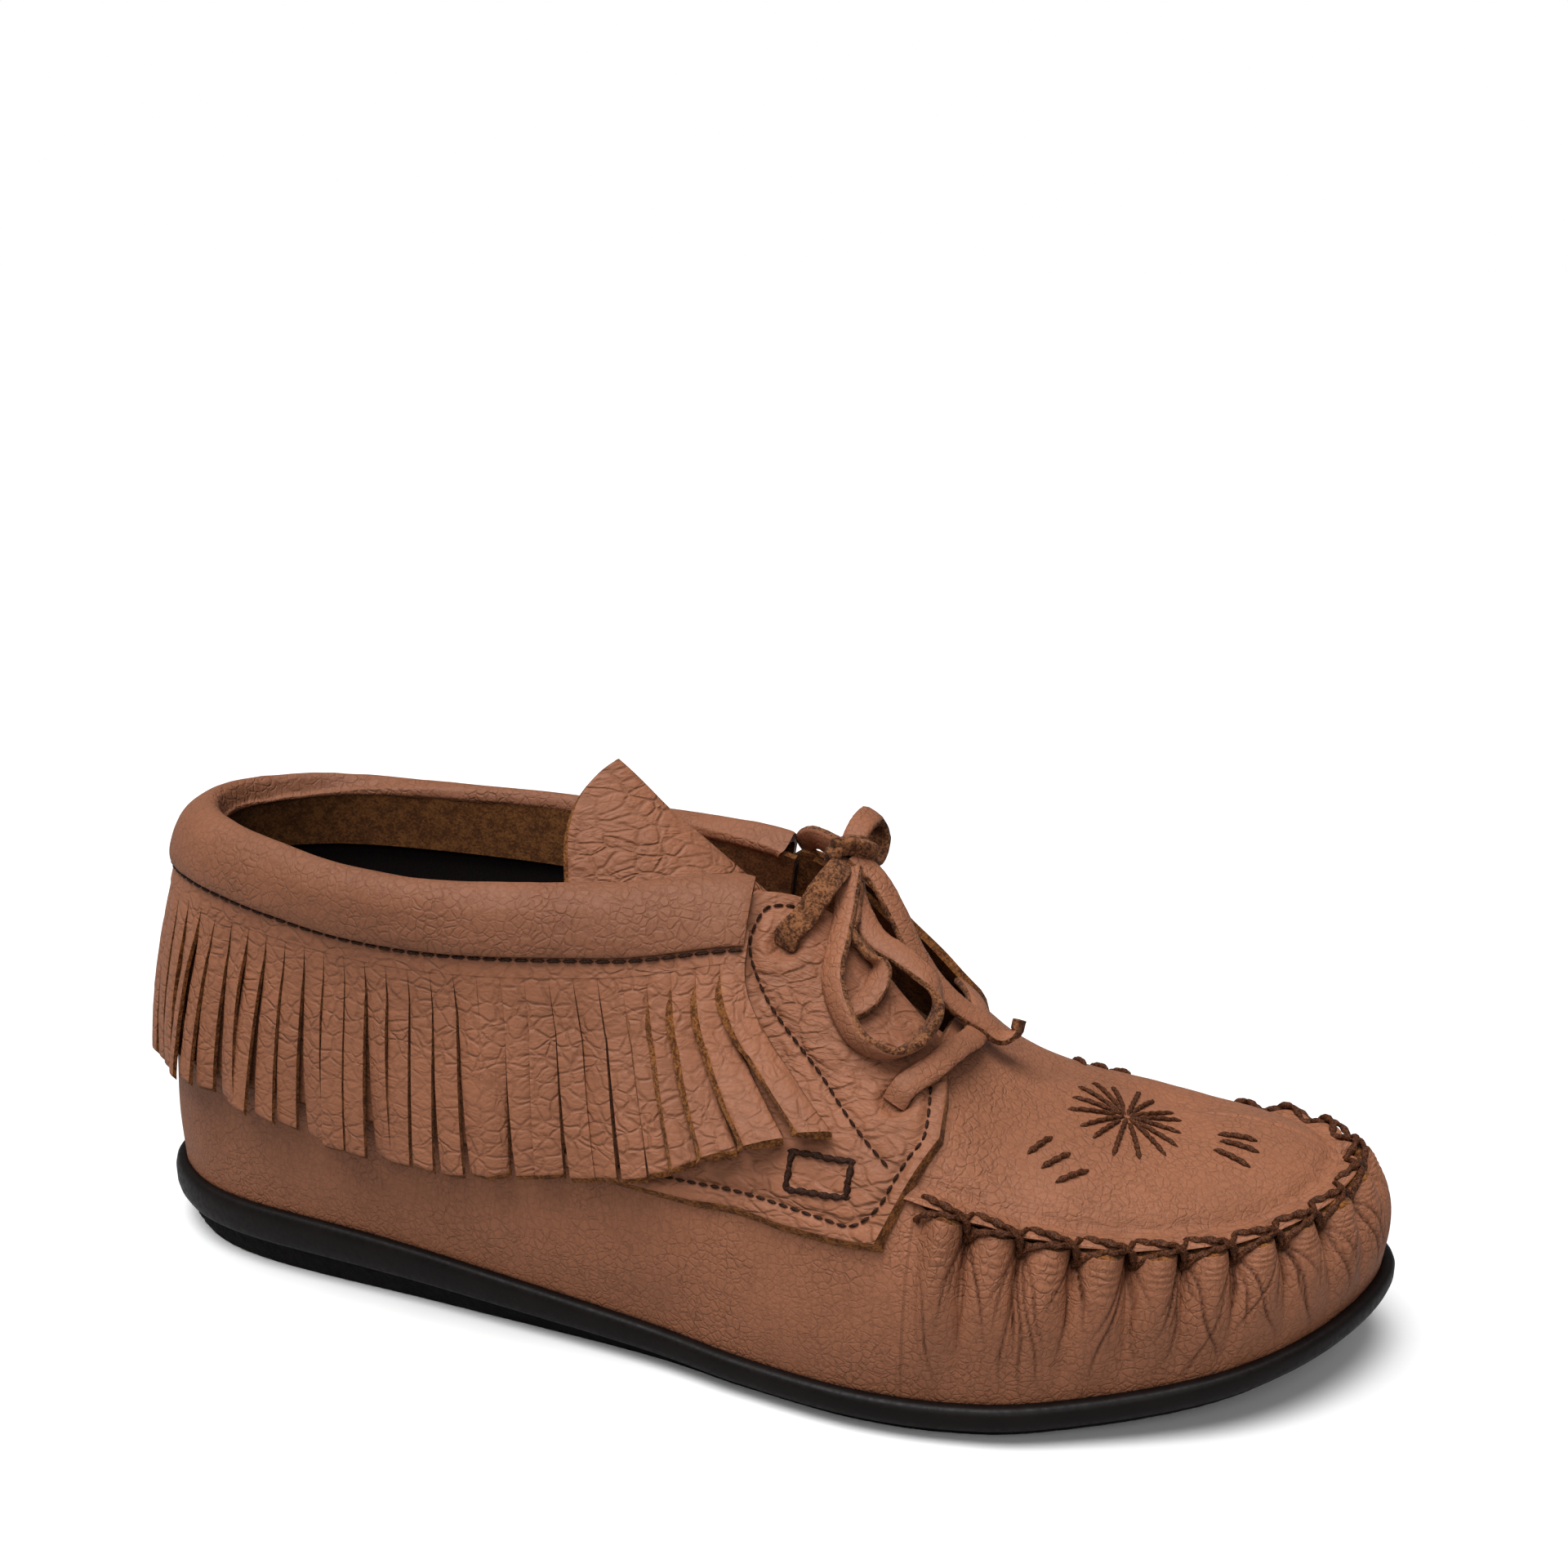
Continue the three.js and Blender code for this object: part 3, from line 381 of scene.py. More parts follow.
# ------------------------------------------------------------------ materials
class Look:
    """A material and short ways of adding nodes to it."""

    def __init__(self, name):
        self.material = bpy.data.materials.new(name)
        self.material.use_nodes = True
        self.tree = self.material.node_tree
        self.shader = self.tree.nodes["Principled BSDF"]
        coords = self.node("ShaderNodeTexCoord").outputs["Object"]
        self.mm = self.node("ShaderNodeVectorMath", [coords, None, None, 1000.0],
                            operation="SCALE").outputs[0]

    def node(self, kind, values=(), **settings):
        n = self.tree.nodes.new(kind)
        for key, value in settings.items():
            setattr(n, key, value)
        items = values.items() if isinstance(values, dict) else enumerate(values)
        for key, value in items:
            if value is None:
                continue
            if isinstance(value, bpy.types.NodeSocket):
                self.tree.links.new(value, n.inputs[key])
            else:
                n.inputs[key].default_value = value
        return n

    def math(self, operation, a, b=0.0, clamp=False):
        return self.node("ShaderNodeMath", [a, b], operation=operation,
                         use_clamp=clamp).outputs[0]

    def noise(self, size, detail=2.0, vector=None, roughness=0.5):
        return self.node("ShaderNodeTexNoise", {
            "Vector": vector or self.mm, "Scale": 1 / size, "Detail": detail,
            "Roughness": roughness}).outputs["Fac"]

    def warped(self, size, amount):
        """Coordinates pushed about by noise, so that cells come out uneven."""
        colour = self.node("ShaderNodeTexNoise", {
            "Vector": self.mm, "Scale": 1 / size, "Detail": 1.0}).outputs["Color"]
        centred = self.node("ShaderNodeVectorMath", [colour, (0.5, 0.5, 0.5)],
                            operation="SUBTRACT").outputs[0]
        push = self.node("ShaderNodeVectorMath", [centred, None, None, amount],
                         operation="SCALE").outputs[0]
        return self.node("ShaderNodeVectorMath", [self.mm, push], operation="ADD").outputs[0]

    def cells(self, size, vector):
        return self.node("ShaderNodeTexVoronoi", {"Vector": vector, "Scale": 1 / size},
                         feature="DISTANCE_TO_EDGE").outputs["Distance"]

    def step(self, value, low, high, to_low=0.0, to_high=1.0):
        return self.node("ShaderNodeMapRange", [value, low, high, to_low, to_high],
                         interpolation_type="SMOOTHSTEP").outputs[0]

    def mix(self, factor, a, b):
        n = self.node("ShaderNodeMix", data_type="RGBA")
        for index, value in ((0, factor), (6, a), (7, b)):
            if isinstance(value, bpy.types.NodeSocket):
                self.tree.links.new(value, n.inputs[index])
            elif index:
                n.inputs[index].default_value = (*value, 1)
            else:
                n.inputs[index].default_value = value
        return n.outputs[2]

    def attribute(self, name, output):
        return self.node("ShaderNodeAttribute", attribute_name=name).outputs[output]

    def finish(self, colour, roughness, height, depth, **constants):
        bump = self.node("ShaderNodeBump", {"Strength": 1.0, "Distance": depth * MM,
                                            "Height": height})
        self.tree.links.new(bump.outputs[0], self.shader.inputs["Normal"])
        for key, value in (("Base Color", colour), ("Roughness", roughness)):
            if isinstance(value, bpy.types.NodeSocket):
                self.tree.links.new(value, self.shader.inputs[key])
            else:
                self.shader.inputs[key].default_value = value
        for key, value in constants.items():
            self.shader.inputs[key.replace("_", " ")].default_value = value
        return self.material


def leather(name, light, dark, cell=3.0, depth=0.5, stretch=(1.0, 1.0, 1.0), wrinkle=0.6):
    """Soft grain leather with pebbles, wrinkles and pores, and painted shade between the pebbles and
    in its wrinkles and creases. Sizes are in mm.
    """
    k = Look(name)
    k.mm = k.node("ShaderNodeVectorMath", [k.mm, stretch], operation="MULTIPLY").outputs[0]
    vector = k.warped(cell * 1.7, cell * 1.1)
    domes = k.step(k.cells(cell, vector), 0.0, 0.17)
    small = k.step(k.cells(cell * 0.42, vector), 0.0, 0.35)
    patch = k.step(k.noise(15.0, 2.0), 0.32, 0.66, 0.35, 1.0)
    valley = k.math("ABSOLUTE", k.math("SUBTRACT", k.noise(cell * 2.6, 2.0, vector), 0.5))
    valley = k.math("MULTIPLY", k.step(valley, 0.0, 0.035, 1.0, 0.0), patch)
    stretched = k.noise(1.0, 2.0, vector=k.attribute("fold", "Vector"))
    stretched = k.math("ABSOLUTE", k.math("SUBTRACT", stretched, 0.5))
    stretched = k.math("MULTIPLY", k.step(stretched, 0.0, 0.06, 1.0, 0.0),
                       k.attribute("wear", "Fac"))
    pores = k.noise(0.4, 2.0)
    height = k.math("ADD", k.math("MULTIPLY", domes, patch), k.math("MULTIPLY", small, 0.22))
    height = k.math("ADD", height, k.math("MULTIPLY", pores, 0.2))
    height = k.math("SUBTRACT", height, k.math("MULTIPLY", valley, wrinkle))
    height = k.math("SUBTRACT", height, k.math("MULTIPLY", stretched, 0.7))
    tone = k.mix(k.step(k.noise(26.0, 3.0), 0.28, 0.72), tuple(0.84 * c for c in light), light)
    # Painted shade: the colour goes darker between the pebbles, in the wrinkle valleys, along the
    # fine creases that wear brings out, and by the crease layer's painted shadow.
    painted_shade = k.math("MULTIPLY", k.math("SUBTRACT", 1.0, domes), 0.12)
    painted_shade = k.math("ADD", painted_shade, k.math("MULTIPLY", valley, 0.24 * wrinkle))
    painted_shade = k.math("ADD", painted_shade, k.math("MULTIPLY", stretched, 0.42))
    painted_shade = k.math("ADD", painted_shade, k.attribute("crease", "Fac"), clamp=True)
    colour = k.mix(painted_shade, tone, dark)
    return k.finish(colour, k.step(pores, 0.3, 0.7, 0.5, 0.64), height, depth,
                    Specular_IOR_Level=0.25)


def suede(name, light, dark, depth=0.35):
    """Raw flesh side: mottled, fuzzy and matt."""
    k = Look(name)
    fibres = k.noise(0.55, 4.0, roughness=0.7)
    clumps = k.noise(2.2, 3.0, vector=k.warped(3.0, 2.0))
    blend = k.math("ADD", k.math("MULTIPLY", fibres, 0.65), k.math("MULTIPLY", clumps, 0.35))
    colour = k.mix(k.step(blend, 0.4, 0.62), dark, light)
    return k.finish(colour, 0.95, fibres, depth, Specular_IOR_Level=0.1, Sheen_Weight=0.05,
                    Sheen_Roughness=0.6)


def thread_look(name, light, dark):
    """Waxed thread, streaked along its fibres."""
    k = Look(name)
    fibres = k.noise(0.3, 3.0)
    colour = k.mix(k.step(fibres, 0.35, 0.65), dark, light)
    return k.finish(colour, 0.6, fibres, 0.12, Specular_IOR_Level=0.15)


def rubber(name, colour, grain, depth, roughness):
    """Dark rubber with lumps of a given size and depth."""
    k = Look(name)
    lumps = k.noise(grain, 4.0, roughness=0.6)
    wear = k.step(k.noise(9.0, 3.0), 0.3, 0.75)
    tone = k.mix(wear, tuple(0.8 * c for c in colour), tuple(1.25 * c for c in colour))
    return k.finish(tone, k.step(lumps, 0.3, 0.7, roughness - 0.06, roughness + 0.1), lumps,
                    depth, Specular_IOR_Level=0.18)


# The second colour is painted shade: the leather darkens to it between pebbles and in wrinkles and
# creases.
LEATHER_LIGHT, LEATHER_PAINTED_SHADE = (0.338, 0.132, 0.067), (0.062, 0.018, 0.007)
GRAIN = leather("grain_leather", LEATHER_LIGHT, LEATHER_PAINTED_SHADE, cell=4.0, depth=0.32,
                stretch=(0.8, 0.8, 1.5), wrinkle=0.45)
GRAIN_FINE = leather("fine_grain_leather", LEATHER_LIGHT, LEATHER_PAINTED_SHADE, cell=1.7, depth=0.13,
                     wrinkle=0.6)
GRAIN_CUFF = leather("cuff_grain_leather", tuple(0.8 * c for c in LEATHER_LIGHT), LEATHER_PAINTED_SHADE,
                     cell=1.9, depth=0.13, wrinkle=0.5)
GRAIN_BOLD = leather("bold_grain_leather", LEATHER_LIGHT, LEATHER_PAINTED_SHADE, cell=3.4, depth=0.25,
                     stretch=(0.95, 0.95, 1.2), wrinkle=0.35)
RAW = suede("raw_leather_edge", (0.31, 0.115, 0.030), (0.08, 0.024, 0.006))
RAW_LACE = suede("raw_lace_edge", (0.34, 0.135, 0.055), (0.055, 0.017, 0.006), depth=0.5)
FACING = suede("suede_facing", (0.20, 0.075, 0.020), (0.075, 0.024, 0.006))
LINING = suede("dark_lining", (0.008, 0.002, 0.002), (0.003, 0.001, 0.001))
THREAD = thread_look("waxed_thread", (0.125, 0.042, 0.016), (0.024, 0.007, 0.003))
MACHINE_THREAD = thread_look("fine_thread", (0.05, 0.017, 0.008), (0.012, 0.004, 0.002))
RIM = rubber("smooth_rubber", (0.0055, 0.0034, 0.0032), 1.2, 0.06, 0.45)
TREAD = rubber("rough_rubber", (0.0055, 0.0042, 0.004), 1.6, 0.9, 0.85)


# ------------------------------------------------------------------ camera, light and floor
def camera():
    """Stands 17 degrees to the toe side of straight out from the outer side, looking down."""
    azimuth, elevation, distance = math.radians(16.8), math.radians(21.0), 395.1
    back = Vector((math.sin(azimuth) * math.cos(elevation),
                   -math.cos(azimuth) * math.cos(elevation), math.sin(elevation)))
    right = Vector((math.cos(azimuth), math.sin(azimuth), 0))
    up = back.cross(right)
    data = bpy.data.cameras.new("camera")
    data.sensor_width = 36
    data.lens = 44.95
    data.shift_x, data.shift_y = 0.0032, 0.1229
    data.clip_start = 0.01
    eye = bpy.data.objects.new("camera", data)
    bpy.context.scene.collection.objects.link(eye)
    eye.location = (Vector((0, 0, 50)) + back * distance + right * 8.7 + up * 15.4) * MM
    eye.rotation_mode = "QUATERNION"
    eye.rotation_quaternion = Matrix((right, up, back)).transposed().to_quaternion()
    bpy.context.scene.camera = eye


def studio():
    """Soft light from above and a little from in front, and a pale floor.

    The world is dim as a light and white as a backdrop, and the floor looks whiter than the
    light it throws back on the shoe.
    """
    scene = bpy.context.scene
    world = bpy.data.worlds.new("studio")
    world.use_nodes = True
    nodes, links = world.node_tree.nodes, world.node_tree.links
    seen = nodes.new("ShaderNodeLightPath").outputs["Is Camera Ray"]
    strength = nodes.new("ShaderNodeMapRange")
    strength.inputs["To Min"].default_value = 0.16
    strength.inputs["To Max"].default_value = 1.0
    links.new(seen, strength.inputs["Value"])
    links.new(strength.outputs[0], nodes["Background"].inputs["Strength"])
    nodes["Background"].inputs["Color"].default_value = (1, 1, 1, 1)
    scene.world = world
    for name, direction, energy, spread in (("overhead", (-0.15, -0.25, 1), 3.3, 45),
                                            ("front", (0.35, -1, 0.75), 0.6, 30)):
        data = bpy.data.lights.new(name, "SUN")
        data.energy, data.angle = energy, math.radians(spread)
        lamp = bpy.data.objects.new(name, data)
        scene.collection.objects.link(lamp)
        lamp.rotation_euler = Vector(direction).to_track_quat("Z", "Y").to_euler()
    mesh = bpy.data.meshes.new("floor")
    mesh.from_pydata([(-9, -9, 0), (9, -9, 0), (9, 9, 0), (-9, 9, 0)], [], [(0, 1, 2, 3)])
    floor = bpy.data.objects.new("floor", mesh)
    scene.collection.objects.link(floor)
    k = Look("floor_paint")
    direct = k.node("ShaderNodeLightPath").outputs["Is Camera Ray"]
    paint = k.mix(direct, (0.4, 0.4, 0.4), (0.97, 0.97, 0.97))
    mesh.materials.append(k.finish(paint, 1.0, k.noise(5.0), 0.02, Specular_IOR_Level=0.0))
    scene.view_settings.view_transform = "Standard"


camera()
studio()


# ------------------------------------------------------------------ sole
def ring_profile(points, count):
    """A smooth profile of [distance out from the foot line, share of the layer's height]."""
    return evenly(smooth_line(points), count)


def sole_ring(profile, low, high, columns=420):
    """Sweeps a profile round the foot line, between two heights that follow the sole."""
    u = np.linspace(0, ROUND, columns, endpoint=False)
    base, side = station(u)[:, :2], outward(u)
    o, f = profile[:, 0], profile[:, 1]
    xy = base[:, None] + side[:, None] * o[None, :, None]
    z = lerp(low(xy[..., 0]), high(xy[..., 0]), f[None, :])
    return np.concatenate([xy, z[..., None]], -1)


def sole_area(gap, inset, rows, across):
    """Level points that fill the foot line, from heel to toe, inset from it all round."""
    s = np.linspace(0, 1, rows)
    edges = []
    for u in (gap + (11 - 2 * gap) * s, ROUND - gap - (9 - 2 * gap) * s):
        edges.append(station(u)[:, :2] - outward(u) * inset)
    return lerp(edges[0][:, None], edges[1][:, None], across[None, :, None])


def outsole():
    """The smooth rim, and the rough tread under it."""
    profile = ring_profile([[-4, 0.93], [-0.6, 0.96], [0.6, 1.0], [1.7, 0.96], [2.4, 0.8],
                            [2.62, 0.55], [2.45, 0.28], [1.9, 0.08], [1.0, 0.0], [-4, 0.03]], 34)
    rim = Shape()
    loops = sole_ring(profile, tread_top, sole_top)
    rim.tube(loops[:, ::-1], closed=True)
    rim.make("sole_rim", [RIM, RIM], "shoe", ["outsole_rim"], sharp=80)

    profile = ring_profile([[-5, 0.98], [-0.2, 0.98], [-0.5, 0.7], [-0.9, 0.35], [-1.5, 0.06],
                            [-2.6, 0.0], [-5, 0.0]], 40)
    tread = Shape()
    loops = sole_ring(profile, ground, tread_top, 900)
    lumps = rough(loops, 1.7, 3) * 0.35 + rough(loops, 0.8, 5) * 0.16
    inside = np.clip((loops[..., 2] - ground(loops[..., 0])) / 1.0, 0, 1)
    side = outward(np.linspace(0, ROUND, 900, endpoint=False))
    loops[..., :2] += side[:, None] * (lumps * inside)[..., None]
    tread.tube(loops[:, ::-1], closed=True)
    xy = sole_area(0.02, 4.6, 161, np.linspace(0, 1, 25))
    bottom = np.concatenate([xy, (ground(xy[..., 0]) + 0.02)[..., None]], -1)
    tread.slab(bottom[::-1], bottom[::-1] + [0, 0, 1.4])
    tread.make("sole_tread", [TREAD, TREAD], "shoe", ["outsole_tread"])


def footbed():
    """The board takes the suede's material, and a soft cover lies on it."""
    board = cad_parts["insole_board"].data.materials
    board.clear()
    board.append(FACING)
    across = (1 - np.cos(np.linspace(0, np.pi, 31))) / 2
    xy = sole_area(0.05, 5.2, 121, across)
    bulge = np.sin(np.pi * across)[None, :] ** 0.35
    top = np.concatenate([xy, (sole_top(xy[..., 0]) + 4.6 + 1.8 * bulge)[..., None]], -1)
    top[..., 2] += rough(top, 9, 2) * 0.25
    base = np.concatenate([xy, (sole_top(xy[..., 0]) + 3.5)[..., None]], -1)
    sheet("footbed_cover", [LINING], "lining", "footbed", top, base, slots=(0, 0, 0))


# ------------------------------------------------------------------ gathered leather and plug
def wrap_top(u):
    return look(WRAP_TOP, u)


SEAM = even_stations(6.5, 14.2, wrap_top, PUCKER_PITCH, 4)
PUCKERS = (len(SEAM) - 1) // 4


def seam_phase(u):
    """Number of puckers along the seam: a crease at each whole number."""
    return np.interp(u, SEAM, np.arange(len(SEAM)) / 4)


def seam_station(phase):
    return np.interp(phase, np.arange(len(SEAM)) / 4, SEAM)


def height_mm(u):
    """Length of a station's curve from foot line to top line, in millimetres."""
    w = np.linspace(0, 1, 40)
    line = sample(GRID, np.atleast_1d(u)[:, None], w[None, :])
    return np.linalg.norm(np.diff(line, axis=1), axis=-1).sum(1)


def vary(numbers, seed):
    """Steady random values from -1 to 1 for whole numbers."""
    known, places = np.unique(numbers, return_inverse=True)
    values = [2.2 * perlin.noise((n * 7.13 + 0.37, seed * 3.71, 0.5)) for n in known]
    return np.array(values)[places].reshape(np.shape(numbers))


FAN = (-1.2, -0.75, -0.36, -0.1, 0.16, 0.45, 0.95)


def pucker_height(phase, t):
    """How far the gathered leather stands off the last, and how dark the painted shadow in its
    creases is.
    """
    drop = 1 - t
    p = phase + 0.12 * vary(np.round(phase), 4) * drop
    near = 1 - np.abs(2 * (p - np.round(p)))
    ridge = (1 - np.clip(near, 0, 1) ** 1.9) ** 0.9
    size = 1 + 0.16 * vary(np.floor(phase), 2)
    height = 4.1 * size * ridge * np.clip(t, 0, 1) ** 1.15
    height -= 1.4 * (1 - ridge) * ease((t - 0.5) / 0.5)
    middle = p - np.floor(p) - 0.5
    arcs = np.sin(2 * np.pi * (drop * 17 + 5 * middle**2) + 2 * vary(np.floor(phase), 6))
    arcs = arcs * ease((t - 0.62) / 0.2) * ease((0.985 - t) / 0.05) * ridge
    height += 0.07 * arcs
    # crease is painted shadow: dark in the troughs of the arcs, along the fan creases and in the pits
    # by the seam.
    crease = 0.1 * np.clip(-arcs, 0, 1)
    for j, lean in enumerate(FAN):
        n = np.round(phase - lean * drop)
        wander = 0.3 * vary(n, 11 + j) * drop + 0.035 * np.sin(11 * t + 6 * vary(n, 31 + j))
        away = np.abs(phase - lean * drop - n - wander) / 0.026
        stop = 0.32 + 0.32 * vary(n, 51 + j)
        line = np.exp(-away**2) * ease((t - stop) / 0.4) * ease((1.04 - t) / 0.1)
        height -= 0.4 * line
        crease = np.maximum(crease, (0.68 + 0.25 * vary(n, 71 + j)) * line)
    pit = np.exp(-((np.abs(p - np.round(p)) / 0.09) ** 2)) * ease((t - 0.72) / 0.25)
    crease = np.maximum(crease, 0.85 * pit)
    ends = ease(np.minimum(phase, PUCKERS - phase) / 0.5)
    return height * ends, crease * ends


def wrap():
    phase = np.linspace(0, PUCKERS, PUCKERS * 28 + 1)
    seam_u = seam_station(phase)
    plain_u = np.linspace(14.2, 26.5, 400)[1:-1]
    u = np.concatenate([seam_u, plain_u])
    p = np.concatenate([phase, np.zeros(len(plain_u))])
    t = np.r_[np.linspace(0, 0.6, 44), np.linspace(0.6, 1, 52)[1:]]
    w = wrap_top(u % ROUND)[:, None] * t[None, :]
    raised, crease = pucker_height(p[:, None] + 0 * w, t[None, :] + 0 * w)
    flat = off(u[:, None], w, 0)
    raised = raised + 0.45 * rough(flat, 17, 1) * ease(t / 0.3)[None, :]
    bevel = 1.7 / height_mm(u)[:, None] * np.clip(raised[:, -1:] / 4, 0, 1)
    out = off(u[:, None], w - bevel * ease((t - 0.75) / 0.25)[None, :], raised)
    inn = off(u[:, None], w, raised - LEATHER - 0.4 * ease((t - 0.9) / 0.1)[None, :])
    tuck = np.zeros_like(out[:, :1])
    tuck[..., 2] = 1.6
    side = np.concatenate([outward(u), np.zeros((len(u), 1))], 1)[:, None]
    out = np.concatenate([out[:, :1] - tuck - side * 0.7, out], 1)
    inn = np.concatenate([inn[:, :1] - tuck - side * 0.7, inn], 1)
    # These crease values go on the leather as painted shadow in the puckers' creases.
    crease = np.concatenate([crease[:, :1], crease], 1)
    sheet("wrap_leather", [GRAIN_FINE, RAW], "leather", "wrap", out, inn, closed=True,
          fold=folds(out, 1.3, 7), wear=0.25, crease=crease)


def plug_points(rows=220, columns=60):
    """Places on the plug as stations, heights and distance in from its edge."""
    s = np.linspace(0, 1, rows) ** 0.9
    sweep = 1 - (1 - s) ** 1.2
    t = np.linspace(0, 1, columns) ** 1.6
    parts = []
    for back in (6.34, 14.4):
        u = lerp(11, back, sweep)[:, None] + 0 * t
        edge = wrap_top(u)
        parts.append((u, lerp(edge, 1, t), (lerp(edge, 1, t) - edge) * height_mm(u[:, 0])[:, None]))
    join = [np.concatenate([a, b[:, ::-1]], 1) for a, b in zip(*parts)]
    return [*join, s]


def plug_raise(u, edge_mm, s):
    """How far the plug stands off the last: lips between stitches along its edge."""
    phase = seam_phase(u)
    lip = np.abs(np.sin(np.pi * (phase + 0.06))) ** 0.8
    rise = 0.3 + (0.9 + 2.0 * lip) * np.exp(-((edge_mm / 2.3) ** 2))
    rise -= 0.45 * np.exp(-(((edge_mm - 4.2) / 1.5) ** 2))
    return rise * ease(s / 0.03) - 0.45 * s**3


def plug():
    """The flat top of the forefoot. Returns its outer surface."""
    u, w, edge_mm, s = plug_points()
    s = s[:, None] + 0 * u
    flat = off(u, w, 0)
    rise = plug_raise(u, edge_mm, s) + 0.4 * rough(flat, 16, 7) + 0.1 * rough(flat, 5, 8)
    out, inn = off(u, w, rise), off(u, w, rise - LEATHER)
    near = np.exp(-edge_mm / 7)
    fold = np.stack([seam_phase(u) * PUCKER_PITCH / 6, edge_mm / 1.2, 0 * u], -1)
    sheet("plug_leather", [GRAIN_FINE, RAW], "leather", "plug", out[::-1], inn[::-1],
          fold=fold[::-1], wear=(0.1 + 0.7 * near)[::-1])
    return out[::-1]


def seam_place(phase, mm, d):
    """A point along the toe seam: mm in from it over the plug, d off the last."""
    u = seam_station(np.asarray(phase, float))
    return off(u, wrap_top(u) + np.asarray(mm) / height_mm(u), np.asarray(d))


BACK_LEG = [[0.03, -3.3, -0.9], [0.0, -2.0, 1.0], [-0.06, -0.7, 2.7], [-0.2, 0.2, 3.5],
            [-0.42, 0.8, 3.7], [-0.64, 1.2, 2.9], [-0.84, 1.6, 1.6], [-0.96, 1.9, 0.4]]
FRONT_LEG = [[0.0, -3.1, -0.8], [0.1, -2.0, 1.6], [0.26, -1.1, 3.0], [0.5, -0.6, 3.7],
             [0.72, -0.2, 3.4], [0.9, 0.5, 2.4], [1.02, 1.3, 1.5], [1.12, 1.9, 0.4]]


def seam_stitches():
    """Whipstitches: from each crease one leg runs back over the plug and one forward."""
    shape = Shape()
    for k in range(0, PUCKERS + 1):
        jog = 0.04 * float(vary(k, 21))
        for leg, radius in ((BACK_LEG, 0.62), (FRONT_LEG, 0.58)):
            phase, mm, d = np.array(leg).T
            phase = k + jog + phase
            if phase.min() < -0.3 or phase.max() > PUCKERS + 0.3:
                continue
            line = smooth_line(seam_place(np.clip(phase, 0, PUCKERS), mm, d))
            shape.tube(twine(line, radius, pitch=3.0, ply=0.3))
    shape.make("seam_stitches", [THREAD, THREAD], "shoe", ["plug_seam_cord"])


def back_seam():
    """The strip of raw leather over the heel's seam."""
    w = np.linspace(0.0, 0.34, 60)
    u = np.linspace(-0.11, 0.11, 13)
    crown = 1.5 + 0.5 * np.cos(np.pi * u / 0.24)[:, None] + 0 * w
    crown[[0, -1]] -= 0.4
    out = off(u[:, None], w[None, :], crown)
    inn = off(u[:, None], w[None, :], 0.2)
    sheet("heel_seam", [RAW, RAW], "suede", "back_seam", out, inn, fold=folds(out, 2, 6), wear=0.4)


# ------------------------------------------------------------------ stitching
def stitch_row(shape, line, normal, length=2.0, gap=0.35, radius=0.3):
    """Short machine stitches along a line of points."""
    run = distances(line)
    at = np.arange(0, run[-1] - length, length + gap)
    for start in at:
        marks = start + length * np.linspace(0, 1, 7)
        p = np.stack([np.interp(marks, run, line[:, k]) for k in range(3)], 1)
        n = np.stack([np.interp(marks, run, normal[:, k]) for k in range(3)], 1)
        p = p + unit(n) * (0.2 * np.sin(np.pi * np.linspace(0, 1, 7)) - 0.1)[:, None]
        shape.tube(twine(p, radius, pitch=1.6, sides=6, sink=0.5, ply=0.12))


def on_last(places, d):
    """A smooth line through [station, height] places, with the normals along it."""
    route = smooth_line([[u, w, 0] for u, w in places], 12)
    u, w = route[:, 0], route[:, 1]
    return off(u, w, d), sample(NORMALS, u, w)


def groove(points, line, depth, width):
    """How far leather is pulled in at points near a stitched line."""
    flat = points.reshape(-1, 3)
    best = np.full(len(flat), 1e9)
    for p in evenly(line, 140):
        best = np.minimum(best, ((flat - p) ** 2).sum(1))
    return (depth * np.exp(-best / width**2)).reshape(points.shape[:-1])


QUARTER_ROUTE = [[u, float(look(QUARTER_FOOT, u)) + SEAM_ABOVE_FOOT]
                 for u in (3.7, 4.2, 4.7, 5.2, 5.7, 6.0)]
QUARTER_ROUTE += [[float(look(QUARTER_FRONT, w)) - SEAM_BEHIND_FRONT, w]
                  for w in (0.44, 0.5, 0.55, 0.6, 0.7, 0.76)]
STAY_ROUTE = [[5.25, 0.945], [5.0, 0.935], [4.9, 0.915], [4.85, 0.85], [5.0, 0.75],
              [5.6, 0.63], [6.25, 0.51]]
BOX_CORNERS = [[BOX_BACK[0], BOX_BACK[1] + BOX_TALL], [BOX_FRONT[0], BOX_FRONT[1] + BOX_TALL],
               BOX_FRONT, BOX_BACK]


